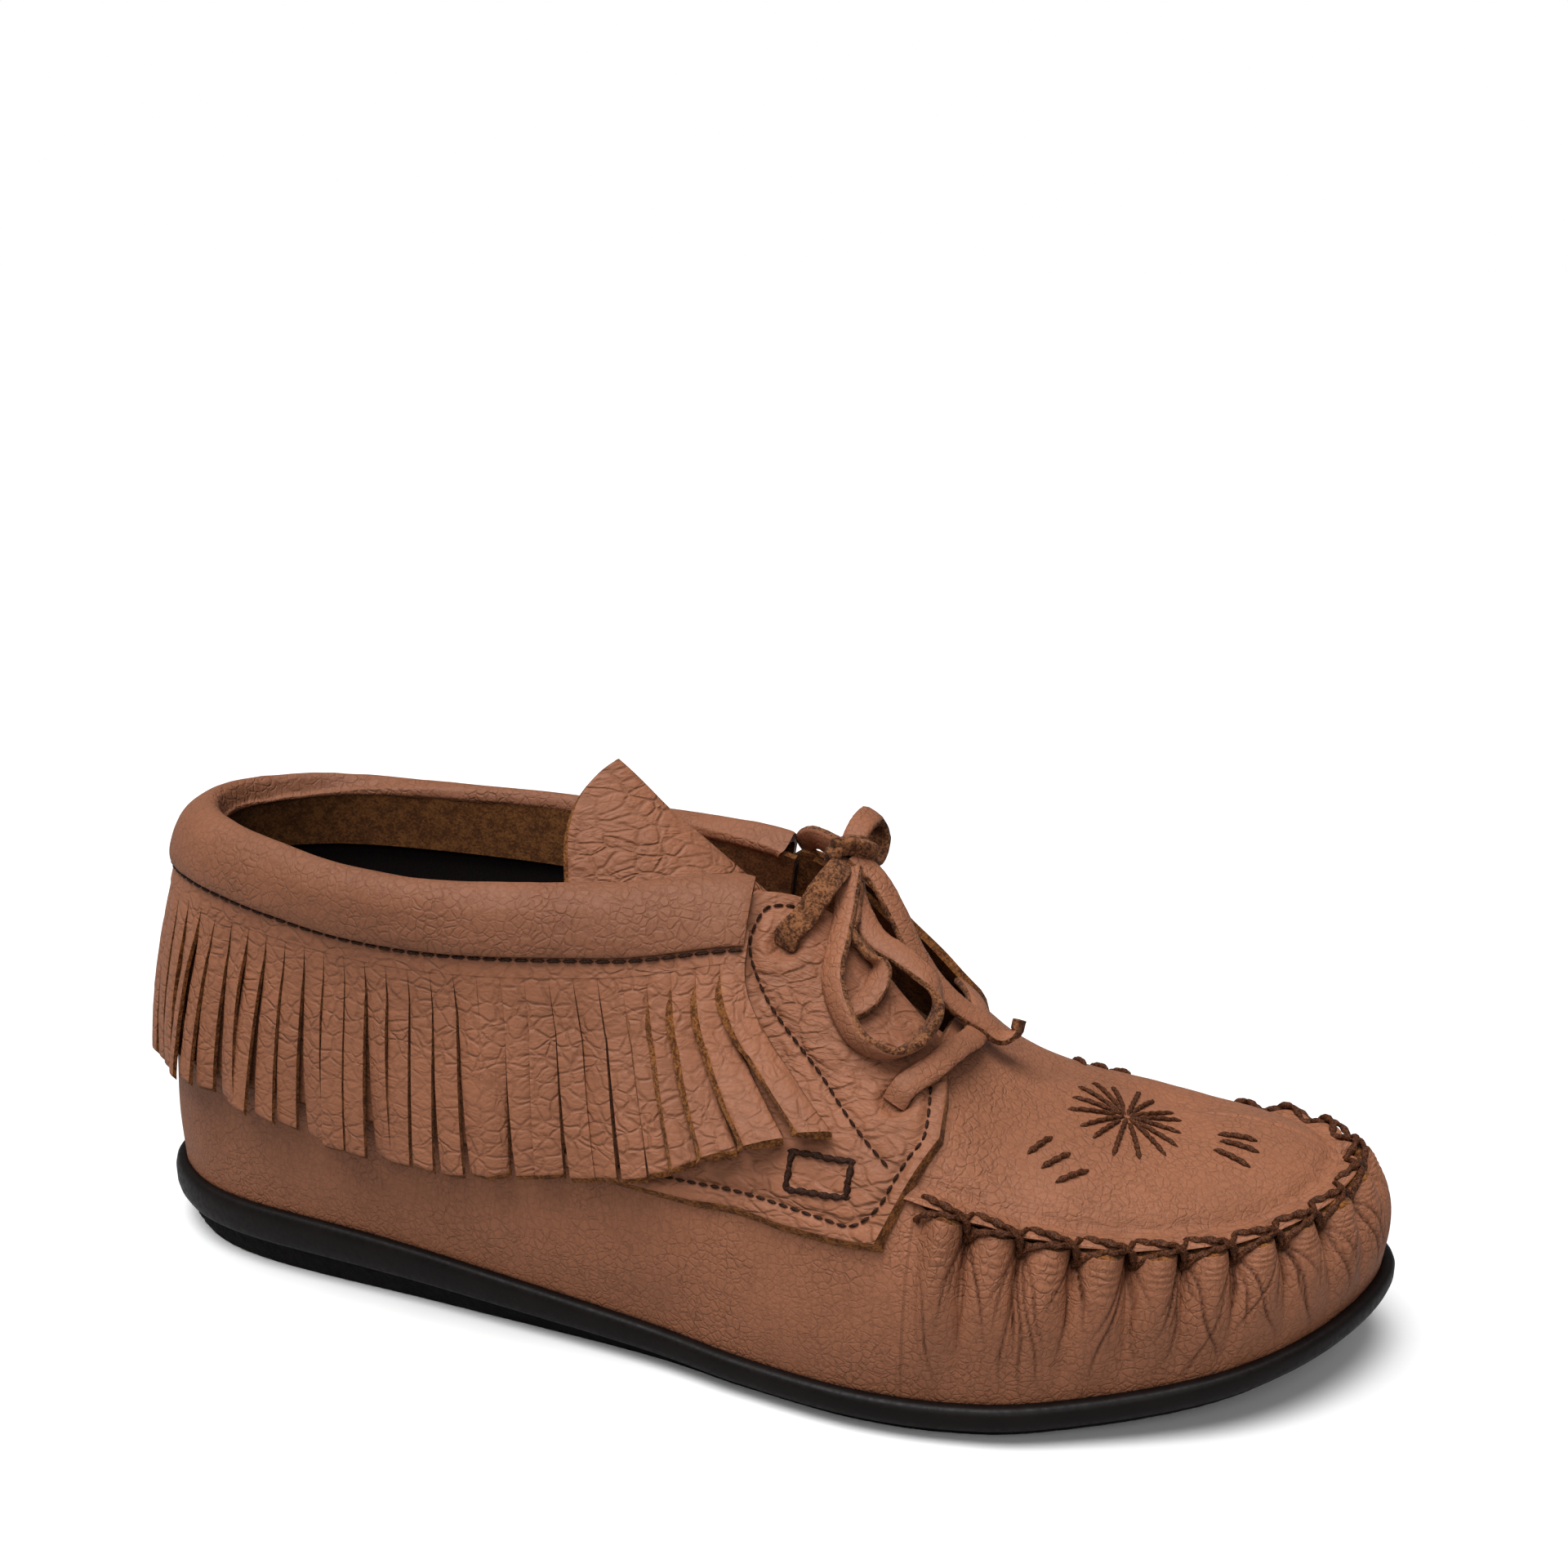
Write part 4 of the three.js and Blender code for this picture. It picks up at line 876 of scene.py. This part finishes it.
def quarter_thread(name, side):
    """Both rows of stitches and the box tack of one quarter."""
    for route, label in ((QUARTER_ROUTE, "quarter_thread_"), (STAY_ROUTE, "eyestay_thread_")):
        line, normal = on_last([[side(u), w] for u, w in route], QUARTER_OFF + LEATHER - 0.2)
        shape = Shape()
        stitch_row(shape, line, normal)
        shape.make(label + name + "_stitches", [MACHINE_THREAD] * 2, "shoe",
                   [label + name])
    shape = Shape()
    for i, corner in enumerate(BOX_CORNERS):
        following = BOX_CORNERS[(i + 1) % 4]
        ends = [[side(lerp(corner[0], following[0], t)), lerp(corner[1], following[1], t)]
                for t in (-0.08, 0.3, 0.7, 1.06)]
        line, normal = on_last(ends, QUARTER_OFF + LEATHER + 0.1)
        bow = np.sin(np.pi * np.linspace(0, 1, len(line)))[:, None]
        line = line + normal * (0.3 * bow - 0.1) + 0.2 * rough(line, 2, 51 + i)[:, None]
        shape.tube(twine(line, 0.56, pitch=2.2, ply=0.3))
    shape.make("box_tack_" + name + "_stitches", [MACHINE_THREAD] * 2, "shoe",
               ["box_tack_" + name])


def collar_run(front, steps, front_inner=None):
    """Places from the cuff's front on the outer side, round the heel, to the inner side."""
    a = outer(np.linspace(front, 0, steps, endpoint=False))
    b = inner(np.linspace(0, front_inner or front, steps)) - ROUND
    return np.concatenate([a, b])


def fold_to_outer(u):
    """The outer-side station that matches any station on either side."""
    v = np.asarray(u) % ROUND
    table = sorted([b, a] for a, b in INNER_PLACE)
    return np.where(v <= 10, v, look(table, ROUND - v))


# ------------------------------------------------------------------ ankle pieces
def quarter(name, side):
    """Ankle leather with raised margins, sewn grooves and two dimpled lace holes."""
    s = np.r_[np.linspace(0, 0.6, 70), np.linspace(0.6, 1, 150)[1:]]
    t = np.linspace(0, 1, 110)
    front = look(QUARTER_FRONT, lerp(0.36, 0.965, t))
    u = lerp(0.025, front[None, :], s[:, None])
    w = lerp(look(QUARTER_FOOT, u), look(QUARTER_TOP, u), t[None, :])
    flat = off(side(u), w, 0)
    rise = np.full(u.shape, QUARTER_OFF + LEATHER)
    for route in (QUARTER_ROUTE, STAY_ROUTE):
        line, _ = on_last([[side(a), b] for a, b in route], 0)
        rise -= groove(flat, line, 0.6, 1.0)
    rise += 0.3 * rough(flat, 11, 9) * ease((1 - t) / 0.1)[None, :]
    for eye in EYELETS:
        centre = off(side(eye[0]), eye[1], 0)
        gap = np.linalg.norm(flat - centre, axis=-1)
        rise -= 2.6 * np.exp(-((gap / 2.4) ** 2)) - 0.5 * np.exp(-(((gap - 4) / 1.6) ** 2))
    rise += 0.35 * ease((0.07 - t) / 0.05)[None, :] + 0.3 * ease((s - 0.975) / 0.02)[:, None]
    rise = np.maximum(rise, 0.3)
    out = off(side(u), w, rise)
    cut_u = u + 0.06 * ease((s - 0.985) / 0.015)[:, None]
    cut_w = w - 0.018 * ease((0.012 - t) / 0.012)[None, :]
    inn = off(side(cut_u), cut_w, np.minimum(QUARTER_OFF, rise - 0.3))
    wear = 0.35 * ease((u - 4.6) / 0.6) * ease((w - 0.5) / 0.2)
    out, inn, wear = facing_out(name, out, inn, wear)
    sheet("quarter_" + name + "_leather", [GRAIN, RAW], "leather", "quarter_" + name, out, inn,
          fold=folds(out, 5, 1.9), wear=wear)


def eyestay(name, side):
    """The suede strip behind the lace holes."""
    s, t = np.linspace(0, 1, 60), np.linspace(0, 1, 30)
    u = lerp(4.95, 6.3, s)[:, None] + 0 * t
    w = lerp(lerp(0.83, 0.56, s)[:, None], 0.975, t[None, :])
    depth = lerp(-0.7, -2.3, ease((s - 0.5) / 0.3))[:, None] + 0 * t
    out, inn = off(side(u), w, depth), off(side(u), w, depth - SUEDE)
    out, inn = facing_out(name, out, inn)
    sheet("eyestay_" + name + "_suede", [FACING], "suede", "eyestay_" + name, out, inn,
          slots=(0, 0, 0))


def collar():
    """The rolled cuff, its stitches, the dark lining and the suede facing."""
    profile = smooth_line([[0.846, 3.8, 0], [0.838, 4.3, 0], [0.843, 5.0, 0], [0.875, 5.35, 0],
                           [0.92, 5.15, 0], [0.955, 4.4, 0], [0.982, 3.0, 0], [0.998, 1.0, 0],
                           [1.0, -0.9, 0], [0.996, -2.4, 0], [0.984, -3.4, 0], [0.968, -3.7, 0],
                           [0.958, -3.4, 0]], 5)
    under = smooth_line([[0.85, 3.6, 0], [0.88, 3.6, 0], [0.93, 3.4, 0], [0.955, 2.6, 0],
                         [0.97, 0, 0], [0.972, -1.4, 0], [0.968, -2.2, 0], [0.96, -2.5, 0]], 8)
    under = evenly(under, len(profile))
    u = collar_run(CUFF_FRONT, 190, CUFF_FRONT_INNER)
    flat = off(u[:, None], profile[None, :, 0], profile[None, :, 1])
    swell = 0.28 * rough(flat, 9, 12) + 0.12 * rough(flat, 3.2, 13)
    ends = np.minimum(np.arange(len(u)), len(u) - 1 - np.arange(len(u)))
    swell -= 0.5 * np.exp(-ends / 1.2)[:, None]
    out = off(u[:, None], profile[None, :, 0], profile[None, :, 1] + swell)
    inn = off(u[:, None], under[None, :, 0], under[None, :, 1])
    out, inn = out[::-1], inn[::-1]
    sheet("cuff_leather", [GRAIN_CUFF, RAW], "leather", "collar_cuff", out, inn,
          fold=folds(out, 2.2, 6), wear=0.16, slots=(0, 1, 0))

    line, normal = off(u, CUFF_FOOT - 0.016, 4.05), sample(NORMALS, u, 0.84)
    shape = Shape()
    stitch_row(shape, line, normal, length=2.9, gap=0.2, radius=0.32)
    shape.make("cuff_stitches", [MACHINE_THREAD] * 2, "shoe", ["collar_thread"])

    u = collar_run(4.86, 160)[::-1]
    for node, heights, material, slot, depth in (
            ("ankle_lining", [0.13, 0.93], LINING, "lining", None),
            ("collar_facing", [0.81, 0.972], FACING, "suede", -2.2)):
        w = np.linspace(*heights, 50)[None, :]
        d = lerp(-2.4, -0.2, ease((w - 0.52) / 0.12)) if depth is None else depth + 0 * w
        d = d + 0 * u[:, None]
        flat = off(u[:, None], w, d)
        d = d + 0.35 * (rough(flat, 12, 14) - 1) * (node == "ankle_lining")
        sheet(node + "_cloth", [material], slot, node, off(u[:, None], w, d),
              off(u[:, None], w, d - SUEDE + 0.1), slots=(0, 0, 0))


def header():
    """The uncut top of the fringe, in one piece round the heel."""
    u = collar_run(4.84, 170)[::-1]
    low = look(STRAND_TOP, fold_to_outer(u)) - 0.012
    t = np.r_[0, 0.25, np.linspace(0.3, 1, 14)]
    w = lerp(low[:, None], 0.872, t[None, :])
    flat = off(u[:, None], w, 0)
    rise = lerp(3.74, 3.55, t)[None, :] + 0.1 * rough(flat, 6, 15)
    under = lerp(3.6, 2.4, ease((t - 0.2) / 0.1))[None, :] + 0 * w
    out, inn = off(u[:, None], w, rise), off(u[:, None], w, under)
    sheet("fringe_strip", [GRAIN_BOLD, RAW], "leather", "fringe_header", out, inn,
          fold=folds(out, 5, 3), wear=0.15, slots=(0, 1, 0))


def strands(name, side, number, cuts):
    """One group of strands, each a separate strip below the uncut top."""
    t = np.r_[0, 0.02, 0.045, np.linspace(0.08, 0.985, 22), 1.0]
    shape = Shape()
    for k in range(len(cuts) - 1):
        seed = number * 31 + k + (500 if name == "inner" else 0)
        wild = [float(vary(seed, j)) for j in range(40, 46)]
        flare = float(ease((cuts[k] - 3.9) / 0.5))
        open_end = 0.06 + 0.03 * wild[5] + 0.1 * flare
        slit = look([[0, 0.0], [0.045, 0.004], [0.15, 0.022], [1, open_end]], t)
        c = np.array([0.0, 0.12, 0.5, 0.88, 1.0])
        share = lerp(slit[None, :], 1 - slit[None, :], c[:, None])
        u = lerp(cuts[k], cuts[k + 1], share)
        reach = look(STRAND_REACH, u)
        top, end = look(STRAND_TOP, u), look(STRAND_END, reach)
        end = end + 0.003 * wild[0] + 0.005 * wild[1] * (share - 0.5)
        along = lerp(u, reach, t[None, :] ** (1.3 + 0.9 * flare)) + 0.02 * wild[2] * t[None, :] ** 2
        w = lerp(top, end, t[None, :])
        lift = 2.45 + 0.9 * np.sin(np.pi * t / 2) + (0.7 + 0.9 * wild[3]) * t**2
        tilt = (1.8 * wild[4] * (1 - flare) - 3.4 * flare) * (share - 0.5) * ease(t / 0.4)[None, :]
        lift = lift + 1.6 * flare * t**1.5
        crown = 0.16 * (1 - (2 * c - 1) ** 2)[:, None]
        edge = -0.12 * np.array([1, 0, 0, 0, 1])[:, None] * ease(t / 0.1)[None, :]
        low = np.maximum(lift[None, :] + tilt, 2.42)
        cut = 0.06 * flare * np.array([-1, -0.9, 0, 0, 0])[:, None] * ease(t / 0.3)[None, :]
        out = off(side(along), w, low + 1.05 + crown + edge)
        inn = off(side(along + cut), w - 0.014 * (t > 0.99)[None, :], low)
        out += 0.09 * rough(out, 3.0, 16)[..., None] * unit(out - inn)
        fold = np.stack([0 * u + seed, w * 30, 0 * u], -1)
        out, inn, fold = facing_out(name, out, inn, fold)
        shape.slab(out[:, ::-1], inn[:, ::-1], fold=fold[:, ::-1], wear=0.1)
    node = f"fringe_{name}_{number}"
    shape.make(node + "_strands", [GRAIN_BOLD, RAW], node, [node])


def fringe(name, side):
    """All the strands of one side, in the groups that the hinges swing."""
    cuts = even_stations(0, 4.84, lambda u: look(STRAND_TOP, u), STRAND_WIDTH)
    bounds = [round(share * (len(cuts) - 1)) for share in FRINGE_SHARES]
    for k in range(1, len(bounds)):
        strands(name, side, k, cuts[bounds[k - 1]:bounds[k] + 1])


# ------------------------------------------------------------------ tongue
TONGUE_LINE = [[49, 0, 50.5], [38, 0, 56.5], [25, 0, 66], [3, 0, 84], [-11, 0, 96],
               [-24.6, 0, 108.4]]
TONGUE_HALF = [[0, 19], [0.3, 17.5], [0.6, 16.5], [1, 18]]
TONGUE_DROOP = [[0, 10], [0.6, 13], [0.8, 19], [1, 27]]


def tongue():
    """A sheet that droops to both sides, so that its straight end looks pointed."""
    line = evenly(smooth_line(TONGUE_LINE), 90)
    s = np.linspace(0, 1, 90)[:, None]
    tangent = unit(np.gradient(line, axis=0))
    up = np.stack([tangent[:, 2], 0 * s[:, 0], -tangent[:, 0]], 1)
    v = np.linspace(-1, 1, 48)[None, :]
    half = look(TONGUE_HALF, s)
    droop = look(TONGUE_DROOP, s)
    fall = lerp(up, np.array([0.15, 0, 0.99]), ease((s - 0.55) / 0.45))
    middle = line[:, None] + [0, 1, 0] * (lerp(7, 4, s) + v * half)[..., None]
    out = middle - fall[:, None] * (droop * v * v)[..., None]
    out += [-5.5, 0, -2.5] * (np.sin(np.pi * np.abs(v)) * s**5)[..., None]
    rise = 0.5 * rough(out, 12, 18) - 0.15
    out = out + up[:, None] * rise[..., None]
    inn = out - up[:, None] * 1.4
    sheet("tongue_leather", [GRAIN, RAW], "leather", "tongue", out[::-1], inn[::-1], "tongue",
          fold=folds(out, 4, 4)[::-1], wear=0.15)


# ------------------------------------------------------------------ embroidery
def plug_surface(out):
    """Height of the plug above a place, seen from above, in millimetres."""
    nu, nw = out.shape[:2]
    tree = BVHTree.FromPolygons(out.reshape(-1, 3).tolist(), quads(nu, nw, False, 0).tolist())

    def place(x, y):
        hit = tree.ray_cast(Vector((x, y, 200)), Vector((0, 0, -1)))
        return np.array(hit[0]), np.array(hit[1]) * (1 if hit[1][2] > 0 else -1)
    return place


def sewn_stitch(shape, surface, a, b, radius=0.4):
    """One thick embroidered stitch between two places on the plug."""
    t = np.linspace(0, 1, 14)
    found = [surface(*lerp(np.array(a), np.array(b), k)) for k in t]
    arch = (0.62 * np.sin(np.pi * t) ** 0.45 - 0.25)[:, None]
    line = np.array([f[0] for f in found]) + arch * np.array([f[1] for f in found])
    shape.tube(twine(line, radius, pitch=2.2, sink=1.4, ply=0.22))


def embroidery(surface):
    """The starburst and the three groups of short stitches on the plug."""
    shape = Shape()
    centre = np.array([79.0, -2.5])
    for k in range(16):
        angle = 2 * math.pi * k / 16 + 0.05 * float(vary(k, 31))
        reach = 11.2 + 1.2 * float(vary(k, 32))
        way = np.array([1.04 * math.cos(angle), 1.3 * math.sin(angle)])
        sewn_stitch(shape, surface, centre + way * (0.3 + 1.5 * (k % 2)), centre + way * reach,
                    0.46)
    shape.make("star_stitches", [THREAD, THREAD], "shoe", ["embroidery_star"])
    for name, list_of in (
            ("dash_toe", [[99.6, 0.4, 0.1], [100.2, -2.6, -0.1], [99.2, -6.8, -0.35]]),
            ("dash_outer", [[65.6, -22, 1.1], [69, -24.4, 0.95], [72.4, -26.6, 0.8]]),
            ("dash_inner", [[66.2, 22, -1.1], [70, 23.8, -0.95], [74, 25, -0.8]])):
        for i, (x, y, angle) in enumerate(list_of):
            way = np.array([math.cos(angle), math.sin(angle)]) * 3.9
            shape = Shape()
            sewn_stitch(shape, surface, (x - way[0], y - way[1]), (x + way[0], y + way[1]), 0.55)
            shape.make(f"{name}_{i + 1}_stitch", [THREAD, THREAD], "shoe",
                       [f"{name}_{i + 1}"])


# ------------------------------------------------------------------ lace
SECTION = np.array([[-0.94, 0.62], [-0.62, 1], [0, 1.1], [0.62, 1], [0.94, 0.62], [1, 0],
                    [0.94, -0.7], [0.62, -1], [0, -1], [-0.62, -1], [-0.94, -0.7], [-1, 0]])
SECTION_SLOTS = [0, 0, 0, 0, 1, 1, 1, 1, 1, 1, 1, 1]


def strap_loops(rows, grain=1, width=LACE_WIDTH, thick=LACE_THICK):
    """Loops of a flat thong along rows of [place, direction across], and its middle line."""
    line = smooth_line([r[0] for r in rows])
    across = smooth_line([unit(np.array(r[1], float)) for r in rows])
    tangent = unit(np.gradient(line, axis=0))
    across = unit(across - tangent * (across * tangent).sum(1, keepdims=True))
    face = np.cross(tangent, across) * grain
    a, b = SECTION[:, 0] * width / 2, SECTION[:, 1] * thick / 2
    loops = line[:, None] + across[:, None] * a[None, :, None] + face[:, None] * b[None, :, None]
    ruffle = 0.16 * rough(loops, 0.9, 22) + 0.12 * rough(loops, 3.0, 23)
    raw = np.array([0.6, 0.1, 0, 0.1, 0.6, 1, 1, 0.8, 0.8, 0.8, 1, 1])
    loops = loops + unit(loops - line[:, None]) * (ruffle * raw)[..., None]
    return (loops if grain > 0 else loops[:, ::-1]), line


def by(u, w, d):
    return off(u, w, d).tolist()


DOWN = [0.8, 0, -0.6]


def lace_rows():
    """Rows of [place, direction across] for each stretch of the lace."""
    (up_u, up_w), (low_u, low_w) = EYELETS
    upper_in, lower_in = (float(inner(up_u)), up_w), (float(inner(low_u)), low_w)
    rising, level = [-0.79, 0.2, 0.53], [0.3, 0.93, 0.12]
    return {
        "lace_bar": (1, [
            [by(low_u, low_w, 0.8), rising], [by(low_u + 0.04, low_w + 0.03, 3.0), rising],
            [[45.5, -25.5, 62.8], rising], [[48.5, -17.5, 64], rising],
            [[50, -8.5, 63], [-0.8, 0, 0.6]], [[49, 3, 62.4], [-0.8, 0, 0.6]],
            [[45.6, 13, 62.6], [-0.8, 0, 0.6]], [by(lower_in[0] + 0.05, low_w + 0.05, 3.4), DOWN],
            [by(*lower_in, 0.8), DOWN]]),
        "lace_upper_outer": (-1, [
            [by(up_u, up_w, 0.8), rising], [by(up_u + 0.01, up_w + 0.02, 3.0), rising],
            [[18.6, -16.8, 86], rising], [[21, -12, 90.4], rising],
            [[22.4, -6.5, 92.5], rising], [[23, -1.5, 93], rising]]),
        "lace_upper_inner": (-1, [
            [by(*upper_in, 0.8), DOWN], [by(*upper_in, 3.4), DOWN], [[8.5, 21, 88.5], [0.7, 0, -0.7]],
            [[11, 17, 91.4], [0.6, -0.2, -0.7]], [[15.6, 11, 92.6], [0.5, -0.3, -0.8]],
            [[21, 5, 92.8], [0.5, -0.3, -0.8]]]),
        "bow_loop_outer": (1, [
            [[24.4, -3, 92], [0.88, -0.33, 0.33]], [[25, -9.5, 87], [0.86, -0.42, 0.25]],
            [[25.5, -16, 82.5], [0.85, -0.47, 0.21]], [[26, -22, 77.5], [0.85, -0.46, 0.26]],
            [[29, -26.5, 72.5], [0.82, -0.44, 0.36]], [[33, -29, 68.5], [0.76, -0.45, 0.46]],
            [[38.5, -29, 66.5], [0.64, -0.58, 0.5]], [[43, -24, 67.5], [0.54, -0.76, 0.34]],
            [[45, -19, 71.5], [0.38, -0.92, 0.06]], [[43, -15, 75.5], [0.08, -0.96, -0.23]],
            [[37.5, -13, 79], [-0.15, -0.9, -0.39]], [[31.5, -11, 81.5], [-0.2, -0.89, -0.4]],
            [[27, -7, 86], [-0.24, -0.94, -0.22]], [[24.5, -2.5, 90], [-0.23, -0.95, -0.1]]]),
        "bow_loop_inner": (1, [
            [[22.2, 3.2, 93.4], [-0.77, 0.48, 0.38]], [[23, 6.4, 96.6], [-0.77, 0.48, 0.38]],
            [[23.6, 10.6, 98], [-0.77, 0.48, 0.38]], [[23.8, 16, 97.2], [-0.81, 0.43, 0.29]],
            [[24.4, 18.4, 92.6], [-0.84, 0.35, 0.1]], [[24.4, 13.4, 89.4], [-0.84, 0.35, 0.1]],
            [[23, 6, 91.2], [-0.77, 0.47, 0.07]]]),
        "lace_tail_long": (1, [
            [[24.5, -1, 94], level], [[29.4, -2.5, 90.4], level], [[33.6, -4.5, 85], level],
            [[38, -6.5, 78], level], [[42.4, -6.5, 71.8], level], [[47, -5.5, 67.2], level],
            [[51, -4, 64.2], [0.23, 0.97, 0.1]], [[54, -3, 61.6], [0.17, 0.98, 0]],
            [[56.6, -1, 61.6], [0.14, 0.92, -0.3]], [[57.2, 0, 64], [0.15, 0.89, -0.4]]]),
        "lace_tail_short": (1, [
            [[24.6, -4, 89.5], [0.63, -0.69, -0.37]], [[26.5, -11.5, 83.4], [0.63, -0.69, -0.37]],
            [[30, -14, 80.5], [0.63, -0.69, -0.37]], [[33, -15.5, 78], [0.68, -0.68, -0.26]],
            [[33.5, -18, 75.5], [0.72, -0.65, -0.22]], [[32, -22, 73], [0.76, -0.6, -0.23]],
            [[29.8, -24, 72], [0.76, -0.6, -0.23]]]),
    }


def lace():
    """The stretches of the thong, the bow's two loops and long tail among them, and the knot's two
    turns.
    """
    made = {}
    for name, (grain, rows) in lace_rows().items():
        loops, line = strap_loops(rows, grain)
        slots = SECTION_SLOTS if grain > 0 else SECTION_SLOTS[-2::-1] + SECTION_SLOTS[-1:]
        shape = Shape()
        shape.tube(loops, slot=slots)
        piece = shape.make(name + "_thong", [GRAIN_FINE, RAW_LACE], "shoe", [name])
        made[name] = (piece, line)
    knot = Shape()
    turns = [
        ([[20.6, -2.4, 92.6], [20.8, -3.2, 95], [22.6, -1.4, 97], [24.6, 1.4, 96.6],
          [25, 1.6, 93.4], [23.2, -1.2, 90.6], [21, -2.6, 91]], [0.85, -0.5, 0.15]),
        ([[20.2, 0.4, 94.4], [21.4, -2.8, 96.2], [24.8, -2.6, 96.4], [27.4, 0.4, 94.6],
          [26.4, 3, 92.6], [22.8, 2.8, 92.4], [20.4, 1, 93.4]], [0.1, -0.35, 0.93])]
    for route, across in turns:
        loops, _ = strap_loops([[p, across] for p in route], 1, 3.9, 1.6)
        knot.tube(loops, slot=[1] * 12)
    knot.make("bow_knot_turns", [GRAIN_FINE, RAW_LACE], "shoe", ["bow_knot"])
    for name in ("bow_loop_outer", "bow_loop_inner", "lace_tail_long"):
        piece, line = made[name]


# ------------------------------------------------------------------ assembly
lace()
outsole()
footbed()
wrap()
place_on_plug = plug_surface(plug())
seam_stitches()
back_seam()
collar()
header()
tongue()
embroidery(place_on_plug)
for side_name, side_of in SIDES.items():
    quarter(side_name, side_of)
    eyestay(side_name, side_of)
    quarter_thread(side_name, side_of)
    fringe(side_name, side_of)
